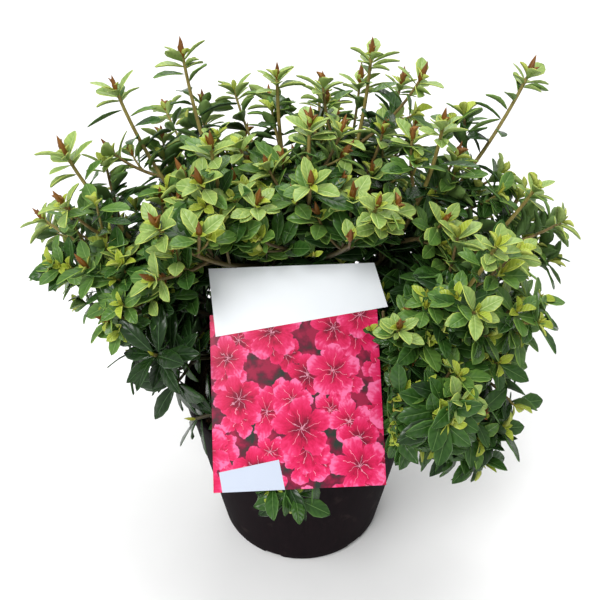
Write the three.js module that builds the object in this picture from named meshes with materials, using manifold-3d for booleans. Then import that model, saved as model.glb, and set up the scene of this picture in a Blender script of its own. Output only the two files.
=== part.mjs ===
// An evergreen azalea in its three-litre nursery pot, with a printed plant label leaning on it.
// Sizes are in millimetres and angles in degrees. +Z is up, -Y is the front, and the origin is
// the centre of the pot's flat underside. An azimuth is turned from the front (-Y) towards +X.
import * as THREE from "three";
import { mergeVertices } from "three/addons/utils/BufferGeometryUtils.js";
import Module from "manifold-3d";

const wasm = await Module();
wasm.setup();

const UP = new THREE.Vector3(0, 0, 1);
const GOLDEN_ANGLE = 137.5;
const CLEARANCE = 0.3;
const SHORTEST_EDGE = 0.02;
const WELDS = [0.003, 0.002, 0.001];
const SEATING = { steps: 5, slack: 0.02, search: 12 };

const POT = { rim: 95, base: 70, height: 150, wall: 1.8, floor: 3, facets: 36 };
const RIM_BAND = { height: 13, step: 2.4 };
const BASE_ROUNDING = 5;
const DRAIN = { count: 6, first: -20, width: 17, height: 6.5, depth: 9 };
const COMPOST = { top: 138, flat: 26, crumb: 1.6 };

const TRUNK = { radius: 11, tip: 8, flare: 5, flareHeight: 11, height: 52, lean: 3, sides: 12 };
const HEART = new THREE.Vector3(0, 0, 165);
const FORK = { reach: 75, floor: 172 };
const BOUGH = { radius: 2.9, tip: 1.9, sides: 6, rings: [0, 0.25, 0.5, 0.75, 1] };
const BOUGH_LIFTS = { low: -14, high: 82, footing: 10, top: 46 };

const STEM = { radius: 2, tip: 1.2, sides: 3, rings: [0, 0.3, 0.65, 1] };
const TWIG = { radius: 1.5, tip: 1.1, sides: 3, rings: [0, 0.14, 0.6, 1] };
const ARCH = { upright: 0.16, drooping: -0.3, fromLift: -13, toLift: 40 };
const SIDE_SHOOTS = { count: 5, first: 0.12, last: 0.62, spread: 36, reach: 0.52, loss: 0.3, lift: 0.12 };
const LEAF = { length: 40, width: 17, thickness: 1.5, ridge: 0.3, widest: 0.55, droop: 0.06, sunk: 0.2 };
const LEAF_GAP = 1.2;
const LEADER_LEAVES = { whorl: 5, stem: 3, from: 0.36, to: 0.86 };
const SIDE_LEAVES = { whorl: 4, stem: 2, from: 0.4, to: 0.7 };
const WHORL = { narrow: 50, wide: 78, gap: 1.5, turn: 144 };
const LEAF_SIZES = [1, 0.82, 0.66];

// The label's card stands on its lower edge in front of the rim and leans back on the shrub.
const CARD = { width: 118, height: 155, thickness: 1.2, lean: 42.3, roll: -3.4 };
const CARD_FOOT = new THREE.Vector3(-1, -118, 147.6);
const HEADER = { rightDrop: 32, overhang: 8 };
const STAKE = { x: 26, width: 13, thickness: 1.4, up: 66, bottom: 104 };
const CARD_BERTH = 14;

// Each bough forks into the masses listed after it. A mass's numbers are its tip's azimuth,
// its lift above the horizon and its reach, all measured from the heart of the crown.
const BOUGHS = {
  left_back_high: { left_leader: [-107, 57, 244], left_tall: [-135, 60, 247] },
  left_high: { left_upper: [-90, 48, 234], left_low: [-74, 37, 186] },
  left_back_low: { left_mid: [-102, 27, 228], left_back_skirt: [-118, 4, 172] },
  left_low: { left_skirt: [-54, 27, 138], left_rim: [-84, 8, 140] },
  left_front_high: { left_front: [-55, 55, 187], left_top: [-70, 72, 197] },
  front_low: { front_left_rim: [-43, 6, 110], front_rim: [-2, -14, 121] },
  centre: { crown_centre: [28, 87, 198], front_right_top: [42, 67, 176] },
  back_top: { top_left: [-163, 74, 216], top_right: [141, 71, 235] },
  right_back_high: { right_upper: [88, 65, 215], right_leader: [110, 51, 269] },
  right_high: { right_high: [88, 44, 219], right_mid: [107, 23, 230] },
  right_low: { right_low: [73, 29, 195], right_skirt: [79, 10, 163] },
  right_front_high: { right_front: [57, 47, 203], label_right: [33, 42, 148] },
  right_front_low: { front_right_low: [42, 21, 162], front_right_rim: [30, 8, 134] },
  right_low_skirt: { right_skirt_low: [60, -13, 156] },
  back_right_high: { back_right_high: [148, 50, 236], back_high: [174, 50, 222] },
  back_left_high: { back_left_high: [-150, 42, 222], back_left_low: [-140, 15, 203] },
  back_right_low: { back_right_low: [132, 14, 205], right_back_skirt: [106, -3, 168] },
  back_low: { back_low_right: [160, 17, 198], back_low_left: [-169, 19, 204] },
};

const COLOURS = {
  pot: 0x2a2426,
  compost: 0x3a2a20,
  bark: 0x6b5233,
  leaf: 0x4f7f3a,
  card: 0xd83a72,
};

const radians = THREE.MathUtils.degToRad;

function material(colour, roughness) {
  return new THREE.MeshStandardMaterial({ color: colour, roughness, metalness: 0 });
}

// The card's own frame: x to the right, y up along the card and z out of its face.
const CARD_FRAME = new THREE.Matrix4()
  .makeRotationX(radians(90 - CARD.lean))
  .premultiply(new THREE.Matrix4().makeRotationZ(radians(-CARD.roll)))
  .setPosition(CARD_FOOT);
const CARD_INVERSE = CARD_FRAME.clone().invert();

function direction(azimuth, lift) {
  const a = radians(azimuth);
  const l = radians(lift);
  return new THREE.Vector3(Math.sin(a) * Math.cos(l), -Math.cos(a) * Math.cos(l), Math.sin(l));
}

// A repeatable stream of numbers from 0 to 1.
function seeded(seed) {
  let state = seed >>> 0;
  return () => {
    state = (state + 0x6d2b79f5) >>> 0;
    let t = Math.imul(state ^ (state >>> 15), 1 | state);
    t = (t + Math.imul(t ^ (t >>> 7), 61 | t)) ^ t;
    return ((t ^ (t >>> 14)) >>> 0) / 4294967296;
  };
}

function mix(from, to, share) {
  return from + (to - from) * share;
}

// A closed solid from a geometry. Faces that have shrunk to a line or a point are dropped.
function solidOf(geometry) {
  const bare = new THREE.BufferGeometry().setAttribute("position", geometry.getAttribute("position"));
  bare.setIndex(geometry.index);
  const merged = mergeVertices(bare, 1e-4);
  const corners = merged.index.array;
  const faces = [];
  for (let i = 0; i < corners.length; i += 3) {
    const [a, b, c] = corners.slice(i, i + 3);
    if (a !== b && b !== c && c !== a) faces.push(a, b, c);
  }
  return new wasm.Manifold(
    new wasm.Mesh({
      numProp: 3,
      vertProperties: new Float32Array(merged.attributes.position.array),
      triVerts: new Uint32Array(faces),
    }),
  );
}

function geometryOf(solid) {
  const mesh = solid.getMesh();
  const geometry = new THREE.BufferGeometry();
  geometry.setAttribute("position", new THREE.BufferAttribute(mesh.vertProperties, 3));
  geometry.setIndex(new THREE.BufferAttribute(mesh.triVerts, 1));
  return geometry;
}

// True where a solid stays closed when corners that nearly meet are joined.
function weldsClosed(solid) {
  return WELDS.every((tolerance) => {
    const merged = mergeVertices(geometryOf(solid), tolerance);
    const corners = merged.index.array;
    const count = merged.attributes.position.count;
    const edges = new Set();
    for (let i = 0; i < corners.length; i += 3) {
      const [a, b, c] = corners.slice(i, i + 3);
      edges.add(a * count + b).add(b * count + c).add(c * count + a);
    }
    const paired = [...edges].every((edge) => edges.has((edge % count) * count + Math.floor(edge / count)));
    return paired && edges.size === corners.length;
  });
}

// A closed skin over rings of points that all have the same count, with a fan over each end.
function skin(rings) {
  const count = rings[0].length;
  const points = rings.flat();
  const faces = [];
  for (let r = 0; r + 1 < rings.length; r++) {
    for (let i = 0; i < count; i++) {
      const a = r * count + i;
      const b = r * count + ((i + 1) % count);
      faces.push(a, b, b + count, a, b + count, a + count);
    }
  }
  const last = (rings.length - 1) * count;
  for (let i = 1; i + 1 < count; i++) {
    faces.push(0, i + 1, i, last, last + i, last + i + 1);
  }
  const geometry = new THREE.BufferGeometry();
  geometry.setAttribute("position", new THREE.Float32BufferAttribute(points.flatMap((p) => p.toArray()), 3));
  geometry.setIndex(faces);
  return geometry;
}

// A ring of points round a curve. Its first point lies level with the curve.
function ringRound(curve, at, radius, sides) {
  const normal = spoke(curve.getTangentAt(at), 0);
  const binormal = new THREE.Vector3().crossVectors(curve.getTangentAt(at), normal);
  return Array.from({ length: sides }, (_, i) => {
    const turn = (2 * Math.PI * i) / sides;
    return curve
      .getPointAt(at)
      .addScaledVector(normal, radius * Math.cos(turn))
      .addScaledVector(binormal, radius * Math.sin(turn));
  });
}

// A limb that tapers along a curve, with a ring of corners at each of its plan's shares.
function limb(curve, plan) {
  return solidOf(skin(plan.rings.map((at) => ringRound(curve, at, mix(plan.radius, plan.tip, at), plan.sides))));
}

// A side twig: pointed at its root, which is sunk in its stem, then tapering to its tip.
function twig(curve) {
  const rings = TWIG.rings.map((at) => {
    const radius = at > 0 ? mix(TWIG.radius, TWIG.tip, at) : 0;
    return ringRound(curve, at, radius, TWIG.sides);
  });
  return solidOf(skin(rings));
}

// The point at a share of a limb's length, on the straight lines between its rings' centres.
function onAxis(curve, rings, at) {
  const next = Math.max(1, rings.findIndex((ring) => ring >= at));
  const share = (at - rings[next - 1]) / (rings[next] - rings[next - 1]);
  return curve.getPointAt(rings[next - 1]).lerp(curve.getPointAt(rings[next]), share);
}

function potWallRadius(z) {
  return mix(POT.base, POT.rim - RIM_BAND.step, z / (POT.height - RIM_BAND.height));
}

function revolved(profile) {
  const points = profile.map(([r, z]) => new THREE.Vector2(r, z));
  return new THREE.LatheGeometry(points, POT.facets).rotateX(Math.PI / 2);
}

function pot() {
  const band = POT.height - RIM_BAND.height;
  const inner = (z) => potWallRadius(z) - POT.wall;
  const shell = solidOf(
    revolved([
      [0, 0],
      [POT.base - BASE_ROUNDING, 0],
      [POT.base - BASE_ROUNDING * 0.3, BASE_ROUNDING * 0.3],
      [potWallRadius(BASE_ROUNDING), BASE_ROUNDING],
      [potWallRadius(band), band],
      [POT.rim - 0.8, band],
      [POT.rim, POT.height - 1.5],
      [POT.rim - 0.8, POT.height],
      [POT.rim - 3.2, POT.height],
      [inner(band), band - 2],
      [inner(POT.floor), POT.floor],
      [0, POT.floor],
    ]),
  );
  const slots = Array.from({ length: DRAIN.count }, (_, i) => {
    const azimuth = DRAIN.first + (360 / DRAIN.count) * i;
    const slot = new THREE.BoxGeometry(DRAIN.width, 2 * DRAIN.depth, 2 * DRAIN.height);
    slot.translate(0, -POT.base, 0).rotateZ(radians(azimuth));
    return solidOf(slot);
  });
  return slots.reduce((rest, slot) => rest.subtract(slot), shell);
}

function compost() {
  const clear = POT.wall + CLEARANCE;
  const radius = (z) => potWallRadius(z) - clear;
  const bottom = POT.floor + CLEARANCE;
  const cake = solidOf(
    revolved([
      [0, bottom],
      [radius(bottom), bottom],
      [radius(COMPOST.top - 4), COMPOST.top - 4],
      [radius(COMPOST.top) - 7, COMPOST.top - 1 + COMPOST.crumb],
      [60, COMPOST.top + COMPOST.crumb],
      [44, COMPOST.top - 0.8],
      [COMPOST.flat, COMPOST.top],
      [0, COMPOST.top],
    ]),
  );
  return cake.subtract(solidOf(stake(CLEARANCE)));
}

function trunkAxis(z) {
  const share = (z - COMPOST.top) / TRUNK.height;
  return new THREE.Vector3(TRUNK.lean * share, TRUNK.lean * 0.5 * share * share, z);
}

function trunkRadius(z, turn = 0) {
  const above = z - COMPOST.top;
  const flare = TRUNK.flare * Math.exp(-above / TRUNK.flareHeight) * (1 + 0.35 * Math.cos(5 * turn));
  return mix(TRUNK.radius, TRUNK.tip, above / TRUNK.height) + flare;
}

function trunk() {
  const foot = COMPOST.top + CLEARANCE;
  const rises = [0, 4, 10, 20, 35, TRUNK.height - 2.5, TRUNK.height];
  const rings = rises.map((rise) => {
    const centre = trunkAxis(foot + rise);
    const rounding = rise === TRUNK.height ? 0.72 : 1;
    return Array.from({ length: TRUNK.sides }, (_, i) => {
      const turn = (2 * Math.PI * i) / TRUNK.sides;
      const radius = trunkRadius(foot + rise, turn) * rounding;
      return new THREE.Vector3(Math.cos(turn), Math.sin(turn), 0).multiplyScalar(radius).add(centre);
    });
  });
  return solidOf(skin(rings));
}

// Slides a limb's start along a line until the limb lies a small clearance from its carrier.
function seatLimb(start, line, carrier, curveFrom, plan) {
  let curve = curveFrom(start);
  for (let i = 0; i < SEATING.steps; i++) {
    const gap = limb(curve, plan).minGap(carrier, SEATING.search);
    start.addScaledVector(line, CLEARANCE + SEATING.slack - gap);
    curve = curveFrom(start);
  }
  return curve;
}

// The crown's plan: every bough with its fork, and every mass with its main stem.
function crownPlan() {
  const trunkSolid = trunk();
  const boughs = Object.entries(BOUGHS).map(([name, tips]) => {
    const masses = Object.entries(tips).map(([massName, [azimuth, lift, reach]]) => {
      const heading = direction(azimuth, lift);
      return { name: massName, heading, lift, tip: HEART.clone().addScaledVector(heading, reach) };
    });
    const heading = new THREE.Vector3();
    masses.forEach((mass) => heading.add(mass.heading));
    heading.normalize();
    const fork = pastTheLabel(HEART.clone().addScaledVector(heading, FORK.reach), masses);
    fork.z = Math.max(fork.z, FORK.floor);
    const lift = THREE.MathUtils.radToDeg(Math.asin(heading.z));
    const share = (lift - BOUGH_LIFTS.low) / (BOUGH_LIFTS.high - BOUGH_LIFTS.low);
    const height = COMPOST.top + mix(BOUGH_LIFTS.footing, BOUGH_LIFTS.top, share);
    const outward = heading.clone().setZ(0).normalize();
    const foot = trunkAxis(height);
    const steepness = fork.clone().sub(foot).normalize().z;
    const beside = trunkRadius(height) + CLEARANCE + BOUGH.radius * steepness;
    const bentTo = (start) => {
      const elbow = start.clone().lerp(fork, 0.5).addScaledVector(outward, 3);
      return new THREE.QuadraticBezierCurve3(start.clone(), elbow, fork);
    };
    const curve = seatLimb(foot.addScaledVector(outward, beside), outward, trunkSolid, bentTo, BOUGH);
    return { name: name + "_bough", curve, fork, masses, solid: limb(curve, BOUGH) };
  });
  const masses = boughs.flatMap((bough) => bough.masses.map((mass) => mainStem(mass, bough)));
  masses.forEach((mass, i) => (mass.seed = 1000 * (i + 1)));
  return { boughs, masses };
}

// Leads a fork out past the nearest edge of the label's card where a stem from it would
// otherwise run through the card.
function pastTheLabel(fork, masses) {
  const at = fork.clone().applyMatrix4(CARD_INVERSE);
  for (const { tip } of masses) {
    const end = tip.clone().applyMatrix4(CARD_INVERSE);
    if (end.z <= 0 || at.z >= 0) continue;
    const crossing = at.clone().lerp(end, -at.z / (end.z - at.z));
    const toTop = CARD.height + CARD_BERTH - crossing.y;
    const toSide = CARD.width / 2 + CARD_BERTH - Math.abs(crossing.x);
    if (toTop <= 0 || toSide <= 0) continue;
    if (toTop < toSide) at.y += toTop;
    else at.x = Math.sign(crossing.x) * (CARD.width / 2 + CARD_BERTH);
  }
  return at.applyMatrix4(CARD_FRAME);
}

// Upright shoots start outward and turn up; drooping ones rise over the rim and hang.
function archOf(lift) {
  const share = (lift - ARCH.fromLift) / (ARCH.toLift - ARCH.fromLift);
  return mix(ARCH.drooping, ARCH.upright, THREE.MathUtils.clamp(share, 0, 1));
}

function arched(from, to, arch) {
  const along = to.clone().sub(from);
  const length = along.length();
  along.normalize();
  const across = UP.clone().addScaledVector(along, -along.z).normalize();
  const elbow = from.clone().lerp(to, 0.5).addScaledVector(across, -arch * length);
  return new THREE.QuadraticBezierCurve3(from, elbow, to);
}

function mainStem(mass, bough) {
  const along = bough.curve.getTangentAt(1);
  const towards = (other) => other.tip.clone().sub(bough.fork).normalize();
  const bend = towards(mass).angleTo(along);
  const clear = CLEARANCE + STEM.radius * Math.sin(Math.min(bend, Math.PI / 2));
  const start = bough.fork.clone().addScaledVector(along, clear);
  const twin = bough.masses.find((other) => other !== mass);
  if (twin) {
    const apart = towards(mass).sub(towards(twin));
    apart.addScaledVector(along, -along.dot(apart)).normalize();
    start.addScaledVector(apart, STEM.radius + CLEARANCE).addScaledVector(along, STEM.radius / 2);
  }
  const archedFrom = (point) => arched(point.clone(), mass.tip, archOf(mass.lift));
  return { ...mass, curve: seatLimb(start, along, bough.solid, archedFrom, STEM) };
}

// Places a shoot beside a stem: its curve from the stem at a share of the stem's length.
function sideShoot(mass, index) {
  const random = seeded(mass.seed + index);
  const share = index / Math.max(1, SIDE_SHOOTS.count - 1);
  const at = mix(SIDE_SHOOTS.first, SIDE_SHOOTS.last, share);
  const start = onAxis(mass.curve, STEM.rings, at);
  const along = mass.curve.getTangentAt(at);
  const turn = radians(index * GOLDEN_ANGLE + 40 * random() + mass.seed);
  const opening = radians(SIDE_SHOOTS.spread * mix(0.75, 1.25, random()));
  const side = spoke(along, turn);
  const heading = along.clone().multiplyScalar(Math.cos(opening)).addScaledVector(side, Math.sin(opening));
  const length = mass.curve.getLength() * (SIDE_SHOOTS.reach - SIDE_SHOOTS.loss * at) * mix(0.85, 1.2, random());
  const tip = start.clone().addScaledVector(heading, length);
  return arched(start, tip, SIDE_SHOOTS.lift);
}

// A unit vector square to an axis, turned about it from the horizontal.
function spoke(axis, turn) {
  const level = new THREE.Vector3().crossVectors(axis, UP);
  if (level.lengthSq() < 1e-6) level.set(1, 0, 0);
  level.normalize();
  return level.applyAxisAngle(axis, turn);
}

// Where each leaf of a shoot grows, and which way: spiral leaves along it, then the whorl.
function leavesOf({ curve, rings, leaves: plan, random }) {
  const leaves = [];
  const length = curve.getLength();
  for (let i = 0; i < plan.stem + plan.whorl; i++) {
    const inWhorl = i - plan.stem;
    const whorl = inWhorl >= 0;
    const low = (plan.whorl - inWhorl) * WHORL.gap;
    const at = whorl ? 1 - low / length : mix(plan.from, plan.to, (i + 0.5 * random()) / plan.stem);
    const turn = whorl ? inWhorl * WHORL.turn + 20 * random() : i * GOLDEN_ANGLE;
    const opening = whorl ? mix(WHORL.wide, WHORL.narrow, inWhorl / plan.whorl) : mix(58, 78, random());
    const along = curve.getTangentAt(at);
    const side = spoke(along, radians(turn));
    const o = radians(opening);
    const heading = along.clone().multiplyScalar(Math.cos(o)).addScaledVector(side, Math.sin(o));
    const face = along.clone().multiplyScalar(Math.sin(o)).addScaledVector(side, -Math.cos(o));
    leaves.push({ root: onAxis(curve, rings, at), heading, face, size: mix(0.85, 1.12, random()) });
  }
  return leaves;
}

// A leaf's five corners. Its root is sunk past the twig's middle and its midrib is thickest
// near the root, so the leaf is fused on by a neck that is wider and thicker than its edges.
function leafCorners(leaf, size) {
  const length = LEAF.length * size;
  const across = new THREE.Vector3().crossVectors(leaf.face, leaf.heading);
  const at = (along, aside, rise) =>
    leaf.root
      .clone()
      .addScaledVector(leaf.heading, along)
      .addScaledVector(across, aside)
      .addScaledVector(leaf.face, rise);
  const half = (LEAF.width * size) / 2;
  return {
    root: at(-LEAF.sunk, 0, 0),
    ridge: at(length * LEAF.ridge, 0, LEAF.thickness),
    left: at(length * LEAF.widest, half, 0),
    right: at(length * LEAF.widest, -half, 0),
    tip: at(length, 0, -LEAF.droop * length),
  };
}

function leafSolid({ root, ridge, left, right, tip }) {
  const points = [root, ridge, left, right, tip].flatMap((p) => p.toArray());
  const geometry = new THREE.BufferGeometry();
  geometry.setAttribute("position", new THREE.Float32BufferAttribute(points, 3));
  geometry.setIndex([0, 1, 2, 0, 3, 1, 4, 2, 1, 4, 1, 3, 0, 2, 3, 4, 3, 2]);
  return solidOf(geometry);
}

// Points along a leaf's edges and midrib, close enough together to test it by.
function leafSamples({ ridge, left, right, tip, root }) {
  const start = root.clone().lerp(ridge, 0.2);
  const edges = [
    [start, left],
    [left, tip],
    [start, right],
    [right, tip],
    [ridge, tip],
  ];
  return edges.flatMap(([a, b]) => [0.2, 0.4, 0.6, 0.8, 1].map((share) => a.clone().lerp(b, share)));
}

// Upright strip behind the card that runs down into the compost, grown on all sides by a margin.
function stake(margin) {
  const top = CARD_FOOT.z + STAKE.up * Math.cos(radians(CARD.lean)) - STAKE.thickness / 2;
  const depth = CARD_FOOT.y + STAKE.up * Math.sin(radians(CARD.lean));
  const height = top - STAKE.bottom + 2 * margin;
  const strip = new THREE.BoxGeometry(STAKE.width + 2 * margin, STAKE.thickness + 2 * margin, height);
  return strip.translate(STAKE.x, depth, (top + STAKE.bottom) / 2);
}

function label(margin = 0) {
  const half = CARD.width / 2;
  const outline = new THREE.Shape([
    new THREE.Vector2(-half, 0),
    new THREE.Vector2(half, 0),
    new THREE.Vector2(half, CARD.height - HEADER.rightDrop - 1.2),
    new THREE.Vector2(half + HEADER.overhang, CARD.height - HEADER.rightDrop),
    new THREE.Vector2(half, CARD.height),
    new THREE.Vector2(-half, CARD.height),
  ]);
  const depth = CARD.thickness + 2 * margin;
  const card = new THREE.ExtrudeGeometry(outline, { depth, bevelEnabled: false });
  card.translate(0, 0, -depth / 2).applyMatrix4(CARD_FRAME);
  return solidOf(card).add(solidOf(stake(margin)));
}

function nearestOnLimb(point, obstacle) {
  let nearest = Infinity;
  const { samples, radii } = obstacle;
  for (let i = 0; i + 1 < samples.length; i++) {
    const line = new THREE.Line3(samples[i], samples[i + 1]);
    const foot = line.closestPointToPoint(point, true, new THREE.Vector3());
    nearest = Math.min(nearest, foot.distanceTo(point) - Math.max(radii[i], radii[i + 1]));
  }
  return nearest;
}

function obstacleOf({ name, curve }, plan) {
  const samples = plan.rings.map((at) => curve.getPointAt(at));
  return { owner: name, samples, radii: plan.rings.map((at) => mix(plan.radius, plan.tip, at)) };
}

// True where a point keeps off the pot, the compost, the trunk and the label.
function clearOfMadeThings(point, gap) {
  const fromAxis = Math.hypot(point.x, point.y);
  if (point.z < POT.height + gap && fromAxis < POT.rim + gap) return false;
  const trunkTop = COMPOST.top + TRUNK.height;
  if (point.z < trunkTop + gap && fromAxis < TRUNK.radius + TRUNK.lean + gap) return false;
  const card = point.clone().applyMatrix4(CARD_INVERSE);
  const overCard = Math.abs(card.x) < CARD.width / 2 + HEADER.overhang + gap;
  const besideCard = card.y > -gap && card.y < CARD.height + gap && overCard;
  if (besideCard && Math.abs(card.z) < CARD.thickness / 2 + gap) return false;
  const wellInside = Math.abs(card.x) < CARD.width / 2 - 5 && card.y > 4 && card.y < CARD.height - 4;
  if (wellInside && card.z > 0) return false;
  const depth = CARD_FOOT.y + STAKE.up * Math.sin(radians(CARD.lean));
  const atStake = Math.abs(point.x - STAKE.x) < STAKE.width / 2 + gap && Math.abs(point.y - depth) < 1 + gap;
  return !(atStake && card.z < gap);
}

function inOwnSpace(point, mass, plan) {
  const fromHeart = point.clone().sub(HEART);
  return plan.masses.every((other) => {
    if (other === mass) return true;
    const towards = mass.heading.clone().sub(other.heading).normalize();
    return fromHeart.dot(towards) > LEAF_GAP / 2;
  });
}

function fits(point, mass, plan, radius) {
  const gap = LEAF_GAP + radius;
  if (!clearOfMadeThings(point, gap)) return false;
  if (!inOwnSpace(point, mass, plan)) return false;
  return plan.obstacles.every((o) => o.owner === mass.name || nearestOnLimb(point, o) > gap);
}

function twigFits(curve, mass, plan) {
  return [0.35, 0.5, 0.65, 0.8, 0.9, 1].every((at) => fits(curve.getPointAt(at), mass, plan, TWIG.radius));
}

function touches(solid, other) {
  const a = solid.boundingBox();
  const b = other.boundingBox();
  if ([0, 1, 2].some((i) => a.min[i] > b.max[i] || b.min[i] > a.max[i])) return false;
  return !solid.intersect(other).isEmpty();
}

// Grows a shoot's leaves onto its mass. A leaf is made smaller, or left out, where it would
// leave the mass's space or touch a limb, another twig or another leaf.
function growLeaves(mass, shoot, neighbours, plan) {
  for (const leaf of leavesOf(shoot)) {
    for (const share of LEAF_SIZES) {
      const corners = leafCorners(leaf, leaf.size * share);
      if (!leafSamples(corners).every((p) => fits(p, mass, plan, 0))) continue;
      const solid = leafSolid(corners);
      if ([...neighbours, ...mass.leaves].some((other) => touches(solid, other))) continue;
      const grown = mass.solid.add(solid);
      if (!weldsClosed(grown.simplify(SHORTEST_EDGE))) continue;
      mass.leaves.push(solid);
      mass.solid = grown;
      break;
    }
  }
}

// One mass: its leader, the side shoots that fit and their leaves, fused into one solid.
function foliage(mass, plan) {
  const rest = plan.solids.filter((other) => other.owner !== mass.name).map((other) => other.solid);
  const shoots = [];
  const addShoot = (curve, solid, rings, leaves, seed) => {
    shoots.push({ curve, solid, rings, leaves, random: seeded(mass.seed + seed) });
  };
  mass.solid = limb(mass.curve, STEM);
  addShoot(mass.curve, mass.solid, STEM.rings, LEADER_LEAVES, 500);
  for (let i = 0; i < SIDE_SHOOTS.count; i++) {
    const curve = sideShoot(mass, i);
    if (!twigFits(curve, mass, plan)) continue;
    const solid = twig(curve);
    if (rest.some((other) => touches(solid, other))) continue;
    const grown = mass.solid.add(solid);
    if (!weldsClosed(grown.simplify(SHORTEST_EDGE))) continue;
    mass.solid = grown;
    addShoot(curve, solid, TWIG.rings, SIDE_LEAVES, 600 + i);
  }
  mass.leaves = [];
  for (const shoot of shoots) {
    const twigs = shoots.filter((other) => other !== shoot).map((other) => other.solid);
    growLeaves(mass, shoot, [...twigs, ...rest], plan);
  }
  return mass.solid.simplify(SHORTEST_EDGE);
}

function named(name, solid, look) {
  const mesh = new THREE.Mesh(geometryOf(solid), look);
  mesh.name = name;
  return mesh;
}

function azalea() {
  const plant = new THREE.Group();
  const bark = material(COLOURS.bark, 0.8);
  const leafGreen = material(COLOURS.leaf, 0.45);
  const plan = crownPlan();
  plan.obstacles = [
    ...plan.boughs.map((bough) => obstacleOf(bough, BOUGH)),
    ...plan.masses.map((mass) => obstacleOf(mass, STEM)),
  ];
  plan.solids = [
    { owner: "pot", solid: pot() },
    { owner: "label", solid: label(CLEARANCE) },
    ...plan.boughs.map(({ name, solid }) => ({ owner: name, solid })),
    ...plan.masses.map((mass) => ({ owner: mass.name, solid: limb(mass.curve, STEM) })),
  ];
  plant.add(named("pot", pot(), material(COLOURS.pot, 0.55)));
  plant.add(named("compost", compost(), material(COLOURS.compost, 0.95)));
  plant.add(named("plant_label", label(), material(COLOURS.card, 0.35)));
  plant.add(named("trunk", trunk(), bark));
  plan.boughs.forEach((bough) => plant.add(named(bough.name, bough.solid, bark)));
  for (const mass of plan.masses) {
    const solid = foliage(mass, plan);
    plan.solids.push({ owner: mass.name, solid });
    plant.add(named(mass.name + "_foliage", solid, leafGreen));
  }
  return plant;
}

export default azalea();
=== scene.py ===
"""An evergreen azalea in its three-litre nursery pot, with a printed plant label leaning on it.

Sizes are in millimetres and angles in degrees until a piece becomes a mesh, which is in metres.
+Z is up, -Y is the front, and the origin is the centre of the pot's flat underside. An azimuth
is turned from the front (-Y) towards +X.
"""
import math
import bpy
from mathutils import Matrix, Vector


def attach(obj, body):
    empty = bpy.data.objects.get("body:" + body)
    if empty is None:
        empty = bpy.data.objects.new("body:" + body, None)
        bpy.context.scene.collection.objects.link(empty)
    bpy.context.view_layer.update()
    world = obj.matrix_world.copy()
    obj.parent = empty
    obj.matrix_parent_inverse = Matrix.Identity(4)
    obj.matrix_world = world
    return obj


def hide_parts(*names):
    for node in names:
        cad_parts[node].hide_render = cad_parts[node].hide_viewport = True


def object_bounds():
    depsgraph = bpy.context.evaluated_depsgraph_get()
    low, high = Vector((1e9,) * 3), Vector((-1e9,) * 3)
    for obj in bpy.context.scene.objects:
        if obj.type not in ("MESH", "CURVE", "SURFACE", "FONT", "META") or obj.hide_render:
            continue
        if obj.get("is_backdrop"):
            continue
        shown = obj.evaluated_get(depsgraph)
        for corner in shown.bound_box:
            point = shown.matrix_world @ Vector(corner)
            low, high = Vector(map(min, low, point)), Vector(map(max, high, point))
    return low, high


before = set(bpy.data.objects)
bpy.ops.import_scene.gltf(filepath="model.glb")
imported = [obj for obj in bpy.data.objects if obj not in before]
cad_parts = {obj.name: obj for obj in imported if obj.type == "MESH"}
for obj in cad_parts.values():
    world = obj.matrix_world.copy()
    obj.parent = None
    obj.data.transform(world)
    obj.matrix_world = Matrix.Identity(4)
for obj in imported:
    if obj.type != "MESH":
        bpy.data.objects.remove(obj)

from types import SimpleNamespace as Named

import bmesh
import bpy
import numpy as np
from mathutils import Matrix, Quaternion, Vector, noise

scene = bpy.context.scene
cad_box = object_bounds()
MM = 0.001
UP = Vector((0, 0, 1))
GOLDEN_ANGLE = 137.5

# In radians, for the turns that are drawn at random.
FULL_TURN = 6.28

# Camera: before the pot and above the crown's top, with the lens that fits the picture.
LOOKS_DOWN = 34.5
camera_data = bpy.data.cameras.new("camera")
camera_data.sensor_width = 36
camera_data.lens = 42.6
camera = bpy.data.objects.new("camera", camera_data)
camera.location = (-0.0013, -0.444, 0.528)
camera.rotation_euler = (math.radians(90 - LOOKS_DOWN), 0, 0)
scene.collection.objects.link(camera)
scene.camera = camera
scene.view_settings.view_transform = "Standard"

# The made things, with the sizes of the solids that they replace.
POT = Named(rim=95, base=70, height=150, wall=1.8, floor=3)
RIM_BAND = Named(height=13, step=2.4)
BASE_ROUNDING = 5
DRAIN = Named(count=6, first=-20, width=17, height=6.5, depth=9, easing=1.5)
COMPOST = Named(top=138, flat=26, full=60, crumb=1.6, sinks_from=76, sinks=3 / 13)
COMPOST_RELIEF = Named(scale=0.16, height=1.1, calm=12)
COMPOST_GAP = Named(brim=0.6, wall=0.5, floor=0.4, side=6)
CRUMBS = Named(
    count=1500, reach=86, off_trunk=17, least=1.2, most=4.2, rarity=2.5, lift=0.15,
    breadths=(0.6, 1), heights=(0.5, 0.8),
)
CARD = Named(width=118, height=155, thickness=1.2, lean=42.3, roll=-3.4)
CARD_HALF = CARD.width / 2
CARD_FOOT = Vector((-1, -118, 147.6))
CARD_BERTH = 14
CARD_STEPS = Named(picture=0.35, seat=0.1, tab=0.15)
PRINT_START = 60
HEADER = Named(right_drop=32, overhang=8, foot=(-55, 106), depth=46)
PICTURE_TOP = 121.3
TAB_OUTLINE = [(-53, 0), (-10.5, 0), (-14, 20.2), (-55, 13.4)]
STAKE = Named(x=26, width=13, thickness=1.4, up=66, bottom=104, sunk=1.6, easing=0.4)
STAKE_DEPTH = CARD_FOOT.y + STAKE.up * math.sin(math.radians(CARD.lean))

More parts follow.
